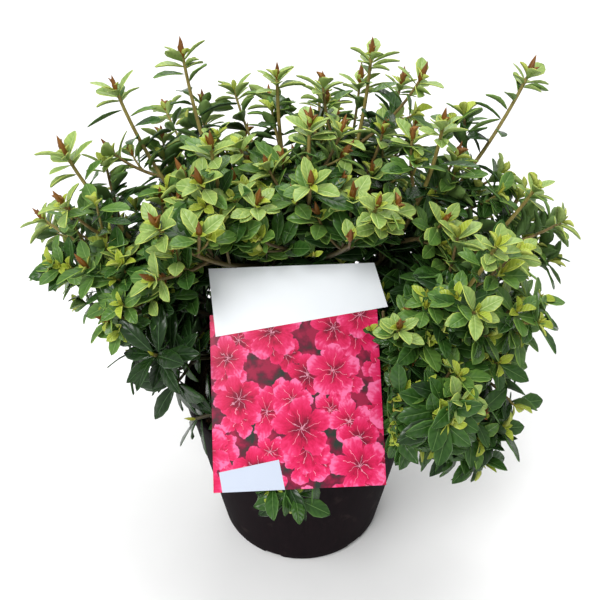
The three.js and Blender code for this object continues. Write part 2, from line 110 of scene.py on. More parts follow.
# The plant's own rule, as the solids follow it.
TRUNK = Named(radius=11, tip=8, height=52, lean=3)
ROOT_FLARE = Named(out=5, height=11, roots=5, depth=0.35)
HEART = Vector((0, 0, 165))
FORK = Named(reach=75, floor=172, sunk=1.5, apart=0.8)
BOUGH = Named(radius=2.9, tip=1.9, bow=3)
BOUGH_LIFTS = Named(low=-14, high=82, footing=10, top=46)
STEM = Named(radius=2, tip=1.2)
ARCH = Named(upright=0.16, drooping=-0.3, from_lift=-13, to_lift=40)
SIDE_SHOOTS = Named(
    count=5, first=0.12, last=0.62, spread=36, reach=0.52, loss=0.3, lift=0.12,
    turned=40, openings=(0.75, 1.25), lengths=(0.85, 1.2),
)
BOUGHS = {
    "left_back_high": {"left_leader": (-107, 57, 244), "left_tall": (-135, 60, 247)},
    "left_high": {"left_upper": (-90, 48, 234), "left_low": (-74, 37, 186)},
    "left_back_low": {"left_mid": (-102, 27, 228), "left_back_skirt": (-118, 4, 172)},
    "left_low": {"left_skirt": (-54, 27, 138), "left_rim": (-84, 8, 140)},
    "left_front_high": {"left_front": (-55, 55, 187), "left_top": (-70, 72, 197)},
    "front_low": {"front_left_rim": (-43, 6, 110), "front_rim": (-2, -14, 121)},
    "centre": {"crown_centre": (28, 87, 198), "front_right_top": (42, 67, 176)},
    "back_top": {"top_left": (-163, 74, 216), "top_right": (141, 71, 235)},
    "right_back_high": {"right_upper": (88, 65, 215), "right_leader": (110, 51, 269)},
    "right_high": {"right_high": (88, 44, 219), "right_mid": (107, 23, 230)},
    "right_low": {"right_low": (73, 29, 195), "right_skirt": (79, 10, 163)},
    "right_front_high": {"right_front": (57, 47, 203), "label_right": (33, 42, 148)},
    "right_front_low": {"front_right_low": (42, 21, 162), "front_right_rim": (30, 8, 134)},
    "right_low_skirt": {"right_skirt_low": (60, -13, 156)},
    "back_right_high": {"back_right_high": (148, 50, 236), "back_high": (174, 50, 222)},
    "back_left_high": {"back_left_high": (-150, 42, 222), "back_left_low": (-140, 15, 203)},
    "back_right_low": {"back_right_low": (132, 14, 205), "right_back_skirt": (106, -3, 168)},
    "back_low": {"back_low_right": (160, 17, 198), "back_low_left": (-169, 19, 204)},
}

# The masses that the picture shows thin, with their side shoots: a few large dark leaves, and sky.
THIN_MASSES = {"left_rim": 2, "left_skirt": 3, "left_back_skirt": 3, "front_left_rim": 1}
# Their leaves take the darkest tones, in part as painted shade.
THIN_VIGOUR_AND_SHADE = -0.8

# The share of its leader that a mass has here, where the picture shows it shorter.
HELD_BACK = {"front_right_rim": 0.8, "left_rim": 0.88, "right_low": 0.95}

# The leaders that the picture shows standing alone above the crown, with short side shoots.
LONE_LEADERS = {"left_leader", "left_tall", "right_leader"}
LONE_SIDE_SHARE = 0.62

# The masses whose buds the picture shows green throughout.
GREEN_TIPPED = {"right_high", "right_mid", "right_low", "right_skirt", "right_front", "back_right_low"}

# Long shoots that share a leader's foot: the azimuth, lift and reach of each one's tip.
SECOND_LEADERS = {
    "left_tall": (-144, 36, 250),
    "top_left": (-153, 58, 218),
    "top_right": (153, 64, 218),
    "right_skirt": (69, 2, 166),
    "left_mid": (-110, 19, 232),
    "crown_centre": (126, 46, 111),
    "right_upper": (125, 45, 103),
}
SECOND_FOOT = 0.3

# What the scene adds to the rule: more side shoots, finer twigs on them, and leaves of life size.
EXTRA_SHOOTS = Named(
    upright=3, spreading=5, upright_from=38, first=0.08, last=0.78, jitter=0.6,
    reach=0.34, loss=0.14, spread=52, rise=0.15,
    turned=50, openings=(0.7, 1.2), lengths=(0.7, 1.25),
)
TWIGLETS = Named(
    shares=(0.42, 0.7), jitter=0.1, reach=0.42, spread=46, shortest=12, rise=0.2,
    openings=(0.75, 1.2), lengths=(0.6, 1.1),
)
BOUGH_SHOOTS = Named(
    shares=(0.5, 0.58, 0.66, 0.74, 0.82, 0.9, 0.97, 0.42), jitter=0.05, length=33, spread=60,
    rise=0.3, openings=(0.8, 1.25), lengths=(0.7, 1.2),
)
SHOOT_RADII = {"side": (1.35, 0.95), "extra": (1.15, 0.85), "fine": (1.0, 0.75)}
LEAF_SPACING = Named(first=6.0, growth=1.065, jitter=(0.85, 1.15))
LEAF_OPENING = (62, 90)
LEAF_ROLL = 20
LEAF_VARIETY = Named(bends=(0.5, 1.3), lengths=(0.8, 1.15), breadths=(0.88, 1.12))
LEAF_FITTING = (1, 0.8, 0.62, 0.46)
SPIRAL_LEAVES = Named(turned=25, seat=0.8, sizes=(0.85, 1.08))
LEAF_FACE = Named(up=0.5, righting=1.6, outward=0.3)
LEAF_ARCH = 0.05
LIMB_UNDERSIDE = -0.3
# How much light a shoot has, by how far out of its mass it reaches and how high its tip stands; shoots
# inside the crown have less of it. It picks its leaves' ages and so their tones: pale leaves high and
# outside, dark ones low and deep in the crown, which is partly painted shade.
LIGHT = Named(start=0.45, over=0.4, height=140)
SHOOT_LIGHT = Named(side=1.0, extra=0.72, bough=0.7, fine=0.62)
BARE = Named(leader=0.04, shoot=0.08, bough=0.35)
# The bough's own leaves, deep in the crown, take dark tones, partly as painted shade.
BOUGH_VIGOUR_AND_SHADE = 0.2
AGEING = Named(length=16, shade=2.4, chance=0.8, under_whorl=5)
AGE_LIMITS = {"young": 0.75, "mid": 1.75, "mature": 3.15}
WHORL = Named(
    count=5, on_leader=7, on_twig=4, from_lift=12, narrow=48, wide=82, gap=1.1, jitter=8, turned=20
)
LEAFLET = Named(light=0.55, openings=(28, 66), sizes=(0.7, 1.15), by_bronze=0.72, turned=60)
BRONZE = Named(start=215, over=90, least=0.03, most=0.95, turn=150, turned=90, openings=(10, 34))
BUD = Named(lengths=(11.5, 16), green=0.6, breadth=0.28, rise=0.45, berth=2)

# What each of a mass's growths adds to its seed.
SEED = Named(
    extra=50, bough_shoots=300, on_bough_shoots=310, bough_leaves=(350, 380),
    leader=500, second=550, side=600, twigs=700, on_twigs=800,
)

# How far the plant keeps off other things, and how far it may pass its own bounds.
BERTH = Named(shoot=1.5, leaf=1.2, rim=6, compost=2, stake=1)
CARD_VIEW = Named(below=4, above=1, left=2)
PAST = Named(box=4, reach=26)

# The right-hand leaves that lap over the card's edge, between two heights on it.
LAP = Named(low=94, high=114, reach=13)


def mix(low, high, share):
    return low + (high - low) * share


def clamp(value, low=0.0, high=1.0):
    return min(high, max(low, value))


def seeded(seed):
    """A repeatable stream of numbers from 0 to 1, the same as the one that the solids grow by."""
    whole = 0xFFFFFFFF
    state = seed & whole

    def draw():
        nonlocal state
        state = (state + 0x6D2B79F5) & whole
        t = ((state ^ (state >> 15)) * (1 | state)) & whole
        t = ((t + (t ^ (t >> 7)) * (61 | t)) & whole) ^ t
        return ((t ^ (t >> 14)) & whole) / 4294967296

    return draw


def linear(hex_colour):
    """The linear colour of an sRGB hex value."""
    channels = [int(hex_colour[i : i + 2], 16) / 255 for i in (1, 3, 5)]
    return [c / 12.92 if c <= 0.04045 else ((c + 0.055) / 1.055) ** 2.4 for c in channels] + [1]


# Materials. Each finish below gives what goes into its material's shader.


def add(tree, kind, inputs=(), tones=(), **settings):
    """Adds a node with its settings and links, and with its tones where it is a colour ramp.

    An input takes a value, another node's output, or a node for the first output that it has live.
    """
    node = tree.nodes.new(kind)
    for name, value in settings.items():
        setattr(node, name, value)
    for name, value in inputs.items() if isinstance(inputs, dict) else enumerate(inputs):
        if isinstance(value, bpy.types.Node):
            value = next(output for output in value.outputs if output.enabled)
        if isinstance(value, bpy.types.NodeSocket):
            tree.links.new(value, node.inputs[name])
        else:
            node.inputs[name].default_value = value
    elements = node.color_ramp.elements if tones else ()
    while len(elements) < len(tones):
        elements.new(0.5)
    for element, (position, colour) in zip(elements, tones):
        element.position = position
        element.color = linear(colour)
    return node


def material(name, finish, *choices):
    made = bpy.data.materials.new(name)
    made.use_nodes = True
    tree = made.node_tree
    tree.nodes.clear()
    shader = add(tree, "ShaderNodeBsdfPrincipled", finish(tree, *choices))
    add(tree, "ShaderNodeOutputMaterial", {"Surface": shader})
    return made


def in_millimetres(tree, stretch=(1, 1, 1)):
    """The piece's own place in millimetres, stretched where a pattern runs along one axis."""
    place = add(tree, "ShaderNodeTexCoord").outputs["Object"]
    return add(tree, "ShaderNodeMapping", {"Vector": place, "Scale": [1000 * s for s in stretch]})


VEINS = Named(turns=6 * 2 * math.pi, slant=-0.42, softness=0.7, depth=0.12)
DEEPER = Named(start=0.85, clouds=0.5, veins=-0.3, margin=-1.1)


def leaf_skin(tree, colour, deep_colour, roughness):
    """Azalea leaf skin, waxy, and quilted between six pairs of side veins, about 4 mm apart.

    The wax gives broad soft highlights, and the quilting breaks them up. The colour deepens in
    clouds, in the veins and towards the midrib.
    """
    clouds = add(tree, "ShaderNodeTexNoise", {"Vector": in_millimetres(tree), "Scale": 0.07, "Detail": 3.0})
    clouds = add(tree, "ShaderNodeMapRange", {"Value": clouds, "From Min": 0.35, "From Max": 0.65})
    blade = add(tree, "ShaderNodeSeparateXYZ", (add(tree, "ShaderNodeUVMap"),)).outputs
    made = {"across": blade[0], "up the leaf": blade[1], "clouds": clouds}
    for name, operation, *terms in (
        ("aside", "SUBTRACT", "across", 0.5),
        ("aside", "ABSOLUTE", "aside"),
        ("veins", "MULTIPLY_ADD", "aside", VEINS.slant, "up the leaf"),
        ("veins", "MULTIPLY", "veins", VEINS.turns),
        ("veins", "SINE", "veins"),
        ("veins", "MULTIPLY_ADD", "veins", 0.5, 0.5),
        ("veins", "POWER", "veins", VEINS.softness),
        ("depth", "MULTIPLY_ADD", "clouds", DEEPER.clouds, DEEPER.start),
        ("depth", "MULTIPLY_ADD", "veins", DEEPER.veins, "depth"),
        ("depth", "MULTIPLY_ADD", "aside", DEEPER.margin, "depth"),
    ):
        terms = [made.get(term, term) for term in terms]
        made[name] = add(tree, "ShaderNodeMath", terms, operation=operation)
    green = {"Factor": made["depth"], "A": linear(colour), "B": linear(deep_colour)}
    quilting = {"Height": made["veins"], "Distance": VEINS.depth * MM, "Strength": 1.0}
    return {
        "Base Color": add(tree, "ShaderNodeMix", green, data_type="RGBA"),
        "Roughness": roughness,
        "IOR": 1.45,
        "Specular IOR Level": 0.34,
        "Normal": add(tree, "ShaderNodeBump", quilting),
    }


def bark_skin(tree, young, old, roughness):
    """Azalea bark, drawn out along the limb in fine ridges 1 mm apart: dull, with pale ridge backs.

    It darkens towards the crown's heart, where the wood is older; the darkening is also painted shade for
    the crown's shaded inside.
    """
    ridges = {"Vector": in_millimetres(tree, (1, 1, 0.3)), "Scale": 0.55, "Detail": 6.0, "Roughness": 0.65}
    ridges = add(tree, "ShaderNodeTexNoise", ridges)
    fresh = add(tree, "ShaderNodeValToRGB", (ridges,), ((0.34, old), (0.66, young)))
    # Darker towards the crown's heart: older wood, and painted shade inside the crown.
    age = add(tree, "ShaderNodeVectorMath", (in_millimetres(tree), HEART), operation="DISTANCE")
    age = {"Value": age, "From Min": 105.0, "From Max": 185.0, "To Min": 0.92, "To Max": 0.0}
    aged_and_shaded = {"Factor": add(tree, "ShaderNodeMapRange", age), "A": fresh, "B": linear("#241f13")}
    relief = {"Height": ridges, "Distance": 0.4 * MM, "Strength": 0.8}
    return {
        "Base Color": add(tree, "ShaderNodeMix", aged_and_shaded, data_type="RGBA"),
        "Roughness": roughness,
        "IOR": 1.45,
        "Normal": add(tree, "ShaderNodeBump", relief),
    }


def moulded_plastic(tree):
    """Recycled polypropylene, thermoformed: warm black, matt, with faint upright streaks and dust."""
    streaks = {"Vector": in_millimetres(tree, (1, 1, 0.05)), "Scale": 0.35, "Detail": 4.0}
    streaks = add(tree, "ShaderNodeTexNoise", streaks)
    black = add(tree, "ShaderNodeValToRGB", (streaks,), ((0.35, "#140e11"), (0.75, "#1d1518")))
    dust = {"Vector": in_millimetres(tree), "Scale": 0.06, "Detail": 8.0}
    dust = add(tree, "ShaderNodeTexNoise", dust)
    dust = {"Value": dust, "From Min": 0.62, "From Max": 0.85, "To Max": 0.35}
    dusty = {"Factor": add(tree, "ShaderNodeMapRange", dust), "A": black, "B": linear("#51453f")}
    relief = {"Height": streaks, "Distance": 0.25 * MM, "Strength": 0.5}
    return {
        "Base Color": add(tree, "ShaderNodeMix", dusty, data_type="RGBA"),
        "Roughness": add(tree, "ShaderNodeMapRange", {"Value": streaks, "To Min": 0.6, "To Max": 0.8}),
        "IOR": 1.49,
        "Specular IOR Level": 0.03,
        "Normal": add(tree, "ShaderNodeBump", relief),
    }


def peat(tree, dark, pale):
    """Peat compost, crumbled: dull and near black, with paler brown fibres 2 to 4 mm long."""
    crumbs = {"Vector": in_millimetres(tree), "Scale": 0.4, "Detail": 8.0, "Roughness": 0.7}
    crumbs = add(tree, "ShaderNodeTexNoise", crumbs)
    return {
        "Base Color": add(tree, "ShaderNodeValToRGB", (crumbs,), ((0.36, dark), (0.7, pale))),
        "Roughness": 0.95,
        "IOR": 1.4,
        "Normal": add(tree, "ShaderNodeBump", {"Height": crumbs, "Distance": 1.2 * MM, "Strength": 1.0}),
    }


def printed_card(tree, colour, shade, roughness):
    """Polypropylene label card, printed and laminated: a smooth satin white with a faint handling haze."""
    haze = {"Vector": in_millimetres(tree), "Scale": 0.03, "Detail": 3.0}
    haze = add(tree, "ShaderNodeTexNoise", haze)
    ink = {"Factor": haze, "A": linear(colour), "B": linear(shade)}
    satin = {"Value": haze, "To Min": roughness - 0.06, "To Max": roughness + 0.12}
    return {
        "Base Color": add(tree, "ShaderNodeMix", ink, data_type="RGBA"),
        "Roughness": add(tree, "ShaderNodeMapRange", satin),
        "IOR": 1.49,
    }


PETAL_TONES = ((0.0, "#7c082c"), (0.2, "#ad0c3c"), (0.5, "#cf1650"), (0.8, "#de3069"), (1.0, "#ee6c9e"))
GROUND_TONES = ((0.36, "#27302a"), (0.48, "#64142f"), (0.6, "#98193f"))

# Four layers of blossom: the size of a cell of the grid, the grid's turn, and where it starts.
BLOSSOM_LAYERS = ((34, 12, 3.0), (41, 51, 61.0), (38, 77, 127.0), (47, 33, 211.0))

# A blossom's size in shares of its cell, and what its petals' tone rises and falls with.
BLOSSOM = Named(petals=5, waist=0.2, lobe=0.26, least=0.78, growth=0.3, veins=35.0, threads=8)
PETAL_TONE = Named(start=1.07, folds=0.42, veins=0.05, crinkles=0.9, light=0.36)
THREAD = Named(shift=0.5, end=0.62, strength=0.5)


def blossom_layer(tree, under, place, cell, angle, start):
    """Five-petalled blossoms, one to a cell of a turned grid, laid over what lies under them.

    A petal's tone rises towards its edge and falls in its folds, with veins, crinkles and a light of
    its own. Pale filaments spread from the middle and end well inside the petals.
    """
    turn = {"Vector": place, "Location": (start, start * 0.37, 0), "Rotation": (0, 0, math.radians(angle))}
    grid = add(tree, "ShaderNodeMapping", turn)
    cells = {"Vector": grid, "Scale": 1 / cell, "Randomness": 0.16}
    cells = add(tree, "ShaderNodeTexVoronoi", cells, voronoi_dimensions="2D").outputs
    ruffle = add(tree, "ShaderNodeTexNoise", {"Vector": grid, "Scale": 0.2, "Detail": 3.0}).outputs
    offset = (ruffle["Color"], (6.0, 6.0, 0), grid)
    offset = add(tree, "ShaderNodeVectorMath", offset, operation="MULTIPLY_ADD")
    for centre in ((3.0, 3.0, 0), cells["Position"]):
        offset = add(tree, "ShaderNodeVectorMath", (offset, centre), operation="SUBTRACT")
    made = {
        "distance": add(tree, "ShaderNodeVectorMath", (offset,), operation="LENGTH"),
        "crinkles": ruffle["Fac"],
    }
    made |= zip(("x", "y"), add(tree, "ShaderNodeSeparateXYZ", (offset,)).outputs)
    made |= zip(("turned", "size", "light"), add(tree, "ShaderNodeSeparateColor", (cells["Color"],)).outputs)
    for name, operation, *terms in (
        ("around", "ARCTAN2", "y", "x"),
        ("around", "MULTIPLY_ADD", "turned", FULL_TURN, "around"),
        ("lobe", "MULTIPLY", "around", BLOSSOM.petals / 2),
        ("lobe", "COSINE", "lobe"),
        ("lobe", "ABSOLUTE", "lobe"),
        ("edge", "POWER", "lobe", 0.5),
        ("edge", "MULTIPLY_ADD", "edge", BLOSSOM.lobe * cell, BLOSSOM.waist * cell),
        ("size", "MULTIPLY_ADD", "size", BLOSSOM.growth, BLOSSOM.least),
        ("edge", "MULTIPLY", "edge", "size"),
        ("reached", "DIVIDE", "distance", "edge"),
        ("veins", "MULTIPLY", "around", BLOSSOM.veins),
        ("veins", "SINE", "veins"),
        ("tone", "SUBTRACT", "reached", PETAL_TONE.start),
        ("tone", "MULTIPLY_ADD", "lobe", PETAL_TONE.folds, "tone"),
        ("tone", "MULTIPLY_ADD", "veins", PETAL_TONE.veins, "tone"),
        ("tone", "MULTIPLY_ADD", "crinkles", PETAL_TONE.crinkles, "tone"),
        ("tone", "MULTIPLY_ADD", "light", PETAL_TONE.light, "tone"),
        ("thread", "MULTIPLY_ADD", "around", BLOSSOM.threads / 2, THREAD.shift),
        ("thread", "SINE", "thread"),
        ("thread", "ABSOLUTE", "thread"),
        ("thread", "MULTIPLY", "thread", "distance"),
        ("thread", "MAXIMUM", "thread", "reached"),
        ("thread", "LESS_THAN", "thread", THREAD.end),
        ("thread", "MULTIPLY", "thread", THREAD.strength),
    ):
        terms = [made.get(term, term) for term in terms]
        made[name] = add(tree, "ShaderNodeMath", terms, operation=operation)
    petals = add(tree, "ShaderNodeValToRGB", (made["tone"],), PETAL_TONES)
    petals = {"Factor": made["thread"], "A": petals, "B": linear("#ffb9cf")}
    petals = add(tree, "ShaderNodeMix", petals, data_type="RGBA")
    inside = {"Value": made["reached"], "From Min": 0.97, "From Max": 1.0, "To Min": 1.0, "To Max": 0.0}
    laid = {"Factor": add(tree, "ShaderNodeMapRange", inside), "A": under, "B": petals}
    return add(tree, "ShaderNodeMix", laid, data_type="RGBA")


def blossom_print(tree):
    """Offset print of pink blossom under gloss laminate: flat ink, so all its depth is in its tones."""
    place = {"Vector": add(tree, "ShaderNodeUVMap"), "Scale": (1000, 1000, 1)}
    place = add(tree, "ShaderNodeMapping", place)
    shadow = add(tree, "ShaderNodeTexNoise", {"Vector": place, "Scale": 0.09, "Detail": 3.0})
    picture = add(tree, "ShaderNodeValToRGB", (shadow,), GROUND_TONES)
    for cell, angle, start in BLOSSOM_LAYERS:
        picture = blossom_layer(tree, picture, place, cell, angle, start)
    return {"Base Color": picture, "Roughness": 0.3, "IOR": 1.45, "Specular IOR Level": 0.3}


def studio_paper(tree):
    """Background paper, pale and dull, and a shade uneven."""
    clouds = add(tree, "ShaderNodeTexNoise", {"Vector": in_millimetres(tree), "Scale": 0.02})
    tone = {"Factor": clouds, "A": linear("#f7f7f7"), "B": linear("#f2f2f2")}
    return {"Base Color": add(tree, "ShaderNodeMix", tone, data_type="RGBA"), "Roughness": 0.9}


# Leaf colours by age: blade, deeper blade, midrib, margin and underside.
LEAF_COLOURS = {
    "bronze": ("#8f5d28", "#6b3e15", "#a07036", "#976830", "#976839"),
    "tender": ("#b0be45", "#93a635", "#bdc75d", "#c8d058", "#b6bf5f"),
    "young": ("#a1b765", "#7a974a", "#adc17a", "#bdca62", "#98ae62"),
    "mid": ("#64873c", "#466a2b", "#779650", "#7f9f42", "#6f8c4a"),
    "mature": ("#3d6127", "#274719", "#507036", "#4a6e2f", "#4e6a36"),
    "old": ("#253f19", "#152b10", "#35512a", "#2b4820", "#344a28"),
}
WAX = {"mature": 0.27, "old": 0.27}

leaf_skins = {}
for age, (blade, deep, rib, margin, underside) in LEAF_COLOURS.items():
    wax = WAX.get(age, 0.34)
    leaf_skins[age] = [
        material(f"azalea leaf, {age}, {part}", leaf_skin, colour, deep_colour, roughness)
        for part, colour, deep_colour, roughness in (
            ("waxed blade", blade, deep, wax),
            ("margin", margin, margin, wax),
            ("sunk midrib", rib, rib, 0.5),
            ("downy underside", underside, underside, 0.65),
        )
    ]
BUD_SKINS = {
    "bronze": material("azalea bud, bronze scales", leaf_skin, "#87571f", "#623a14", 0.4),
    "green": material("azalea bud, green scales", leaf_skin, "#a3a93a", "#8a8a2c", 0.45),
}
BARK = material("azalea bark, ridged", bark_skin, "#645336", "#33281b", 0.75)
WOODY_TWIG = material("azalea twig, second year", bark_skin, "#8a7740", "#5a4a28", 0.65)
GREEN_TWIG = material("azalea shoot, this year", bark_skin, "#968c46", "#74622f", 0.55)
POT_PLASTIC = material("recycled polypropylene, thermoformed", moulded_plastic)
PEAT = material("peat compost, pressed", peat, "#1c130e", "#4d3728")
PEAT_CRUMB = material("peat compost, loose crumbs", peat, "#24180f", "#654a35")
CARD_WHITE = material("polypropylene card, printed white", printed_card, "#f1f4f8", "#e8edf3", 0.3)
CARD_TAB = material("polypropylene card, printed pale blue", printed_card, "#c6cedd", "#b9c3d5", 0.3)
CARD_CORE = material("polypropylene card, cut edge and back", printed_card, "#e9e9e6", "#d6d6d2", 0.5)
BLOSSOM_PRINT = material("offset print, gloss laminated", blossom_print)
PAPER = material("studio paper, pale", studio_paper)


# The growth rule, written again from the solids' source.


class Shoot:
    """A limb or twig along a quadratic curve, read by shares of its own length."""

    def __init__(self, start, elbow, tip, radii):
        self.corners = [np.array(p) for p in (start, elbow, tip)]
        self.radii = radii
        self.ts = np.linspace(0, 1, 201)
        points = np.array([self.on(t) for t in self.ts])
        steps = np.linalg.norm(np.diff(points, axis=0), axis=1)
        self.lengths = np.concatenate([[0], np.cumsum(steps)])
        self.length = self.lengths[-1]

    def on(self, t):
        a, b, c = self.corners
        return (1 - t) ** 2 * a + 2 * t * (1 - t) * b + t * t * c

    def t_at(self, share):
        return float(np.interp(share * self.length, self.lengths, self.ts))

    def at(self, share):
        return Vector(self.on(self.t_at(share)))

    def along(self, share):
        t = self.t_at(share)
        a, b, c = self.corners
        return Vector((1 - t) * (b - a) + t * (c - b)).normalized()

    def radius(self, share):
        return mix(*self.radii, share)


def direction(azimuth, lift):
    a, l = math.radians(azimuth), math.radians(lift)
    return Vector((math.sin(a) * math.cos(l), -math.cos(a) * math.cos(l), math.sin(l)))


# The card's own frame: x to the right, y up along the card and z out of its face.
CARD_FRAME = (
    Matrix.Translation(CARD_FOOT)
    @ Matrix.Rotation(math.radians(-CARD.roll), 4, "Z")
    @ Matrix.Rotation(math.radians(90 - CARD.lean), 4, "X")
)
CARD_INVERSE = CARD_FRAME.inverted()


def trunk_axis(z):
    share = (z - COMPOST.top) / TRUNK.height
    return Vector((TRUNK.lean * share, TRUNK.lean * 0.5 * share * share, z))


def trunk_radius(z, turn=0.0):
    above = z - COMPOST.top
    roots = 1 + ROOT_FLARE.depth * math.cos(ROOT_FLARE.roots * turn)
    flare = ROOT_FLARE.out * math.exp(-above / ROOT_FLARE.height) * roots
    return mix(TRUNK.radius, TRUNK.tip, above / TRUNK.height) + flare


def past_the_label(fork, tips):
    """A bough's fork, moved so that the leaders from it clear the card's edges."""
    at = CARD_INVERSE @ fork
    for tip in tips:
        end = CARD_INVERSE @ tip
        if end.z <= 0 or at.z >= 0:
            continue
        crossing = at.lerp(end, -at.z / (end.z - at.z))
        to_top = CARD.height + CARD_BERTH - crossing.y
        to_side = CARD_HALF + CARD_BERTH - abs(crossing.x)
        if to_top <= 0 or to_side <= 0:
            continue
        if to_top < to_side:
            at.y += to_top
        else:
            at.x = math.copysign(CARD_HALF + CARD_BERTH, crossing.x)
    return CARD_FRAME @ at


def arched(start, tip, arch, radii):
    along = (tip - start).normalized()
    across = (UP - along * along.z).normalized()
    elbow = start.lerp(tip, 0.5) - across * (arch * (tip - start).length)
    return Shoot(start, elbow, tip, radii)


def leader_to(start, end, lift, radii):
    """A leader, which sweeps up where it stands and droops where it hangs low."""
    share = (lift - ARCH.from_lift) / (ARCH.to_lift - ARCH.from_lift)
    return arched(start, end, mix(ARCH.drooping, ARCH.upright, clamp(share)), radii)


def spoke(axis, turn):
    """A unit vector square to an axis, turned about it from the horizontal."""
    level = axis.cross(UP)
    if level.length_squared < 1e-6:
        level = Vector((1, 0, 0))
    return Quaternion(axis, math.radians(turn)) @ level.normalized()


def opened(axis, side, opening):
    """The heading that opens by an angle from an axis to its side."""
    return axis * math.cos(math.radians(opening)) + side * math.sin(math.radians(opening))


def crown_plan():
    """Every bough, and every mass's leader with what its shoots need to know."""
    boughs, masses = [], []
    for tips in BOUGHS.values():
        headings = [direction(azimuth, lift) for azimuth, lift, reach in tips.values()]
        ends = [HEART + heading * reach for heading, (azimuth, lift, reach) in zip(headings, tips.values())]
        heading = sum(headings, Vector()).normalized()
        fork = past_the_label(HEART + heading * FORK.reach, ends)
        fork.z = max(fork.z, FORK.floor)
        lift = math.degrees(math.asin(heading.z))
        share = (lift - BOUGH_LIFTS.low) / (BOUGH_LIFTS.high - BOUGH_LIFTS.low)
        height = COMPOST.top + mix(BOUGH_LIFTS.footing, BOUGH_LIFTS.top, share)
        outward = Vector((heading.x, heading.y, 0)).normalized()
        start = trunk_axis(height) + outward * (trunk_radius(height) - BOUGH.radius)
        elbow = start.lerp(fork, 0.5) + outward * BOUGH.bow
        boughs.append(Shoot(start, elbow, fork, (BOUGH.radius, BOUGH.tip)))
        along = boughs[-1].along(1)
        towards = [(end - fork).normalized() for end in ends]
        for i, (name, (azimuth, lift, reach)) in enumerate(tips.items()):
            begin = fork - along * FORK.sunk
            for twin in towards[:i] + towards[i + 1 :]:
                apart = towards[i] - twin
                apart = (apart - along * along.dot(apart)).normalized()
                begin = begin + apart * FORK.apart
            end = begin.lerp(ends[i], HELD_BACK.get(name, 1))
            leader = leader_to(begin, end, lift, (STEM.radius, STEM.tip))
            seed = 1000 * (len(masses) + 1)
            masses.append(Named(name=name, lift=lift, reach=reach, leader=leader, seed=seed))
    return boughs, masses


def sprout(parent, at, turn, opening, length, kind, rise=0.0):
    """A shoot from a share of its parent's length, turned a little upwards to the light by its rise."""
    along = parent.along(at)
    heading = (opened(along, spoke(along, turn), opening) + UP * rise).normalized()
    start = parent.at(at)
    return arched(start, start + heading * length, SIDE_SHOOTS.lift, SHOOT_RADII[kind])


def side_shoot(mass, index):
    """The same side shoots as the solids have."""
    random = seeded(mass.seed + index)
    leader, rule = mass.leader, SIDE_SHOOTS
    at = mix(rule.first, rule.last, index / (rule.count - 1))
    turn = index * GOLDEN_ANGLE + rule.turned * random() + mass.seed
    opening = rule.spread * mix(*rule.openings, random())
    length = leader.length * (rule.reach - rule.loss * at) * mix(*rule.lengths, random())
    if mass.name in LONE_LEADERS:
        length *= LONE_SIDE_SHARE
    return sprout(leader, at, turn, opening, length, "side")


def extra_shoot(mass, index):
    """A shorter side shoot between the others."""
    random = seeded(mass.seed + SEED.extra + index)
    leader, rule = mass.leader, EXTRA_SHOOTS
    at = mix(rule.first, rule.last, (index + rule.jitter * random()) / rule.spreading)
    turn = (index + 0.5) * GOLDEN_ANGLE + rule.turned * random() + mass.seed
    opening = rule.spread * mix(*rule.openings, random())
    length = leader.length * (rule.reach - rule.loss * at) * mix(*rule.lengths, random())
    return sprout(leader, at, turn, opening, length, "extra", rule.rise)


def twiglets(parent, seed):
    """The short twigs on a side shoot."""
    random = seeded(seed)
    rule = TWIGLETS
    for i, share in enumerate(rule.shares):
        at = share + rule.jitter * (random() - 0.5)
        turn = i * GOLDEN_ANGLE + 360 * random()
        opening = rule.spread * mix(*rule.openings, random())
        length = max(rule.shortest, parent.length * rule.reach * mix(*rule.lengths, random()))
        yield sprout(parent, at, turn, opening, length, "fine", rule.rise)


def bough_shoots(bough, seed):
    """Short leafy shoots on a bough's outer half."""
    random = seeded(seed)
    rule = BOUGH_SHOOTS
    for i, share in enumerate(rule.shares):
        at = share + rule.jitter * (random() - 0.5)
        opening = rule.spread * mix(*rule.openings, random())
        turn = i * GOLDEN_ANGLE + 360 * random()
        length = rule.length * mix(*rule.lengths, random())
        yield sprout(bough, at, turn, opening, length, "extra", rule.rise)


def clear_of_made_things(point, gap):
    """True where a point keeps off the pot, the compost and the label, and out of the label's view."""
    from_axis = math.hypot(point.x, point.y)
    if from_axis < POT.rim + gap and point.z < POT.height + gap:
        at_wall = from_axis > POT.rim - BERTH.rim - gap
        if at_wall or point.z < COMPOST.top + BERTH.compost + gap:
            return False
    card = CARD_INVERSE @ point
    beside_card = -gap < card.y < CARD.height + gap and abs(card.x) < CARD_HALF + HEADER.overhang + gap
    if beside_card and abs(card.z) < CARD.thickness / 2 + gap:
        return False
    right_edge = CARD_HALF
    if card.y > CARD.height - HEADER.depth:
        right_edge += HEADER.overhang
    if LAP.low < card.y < LAP.high:
        right_edge -= LAP.reach
    before_card = -CARD_VIEW.below < card.y < CARD.height + CARD_VIEW.above
    if card.z > 0 and before_card and -CARD_HALF - CARD_VIEW.left < card.x < right_edge:
        return False
    at_stake = abs(point.x - STAKE.x) < STAKE.width / 2 + gap
    at_stake = at_stake and abs(point.y - STAKE_DEPTH) < BERTH.stake + gap
    return not (at_stake and card.z < gap)


LOWEST, HIGHEST = (Vector(corner) / MM for corner in cad_box)


def within_reach(point, mass):
    """True inside the crown's box, and not far outside the mass's own reach."""
    if any(point[i] < LOWEST[i] - PAST.box or point[i] > HIGHEST[i] + PAST.box for i in range(3)):
        return False
    return (point - HEART).length < mass.reach + PAST.reach


def fits(points, mass, gap):
    return all(clear_of_made_things(point, gap) and within_reach(point, mass) for point in points)


SHOOT_TESTS = (0.3, 0.5, 0.65, 0.8, 0.9, 1)


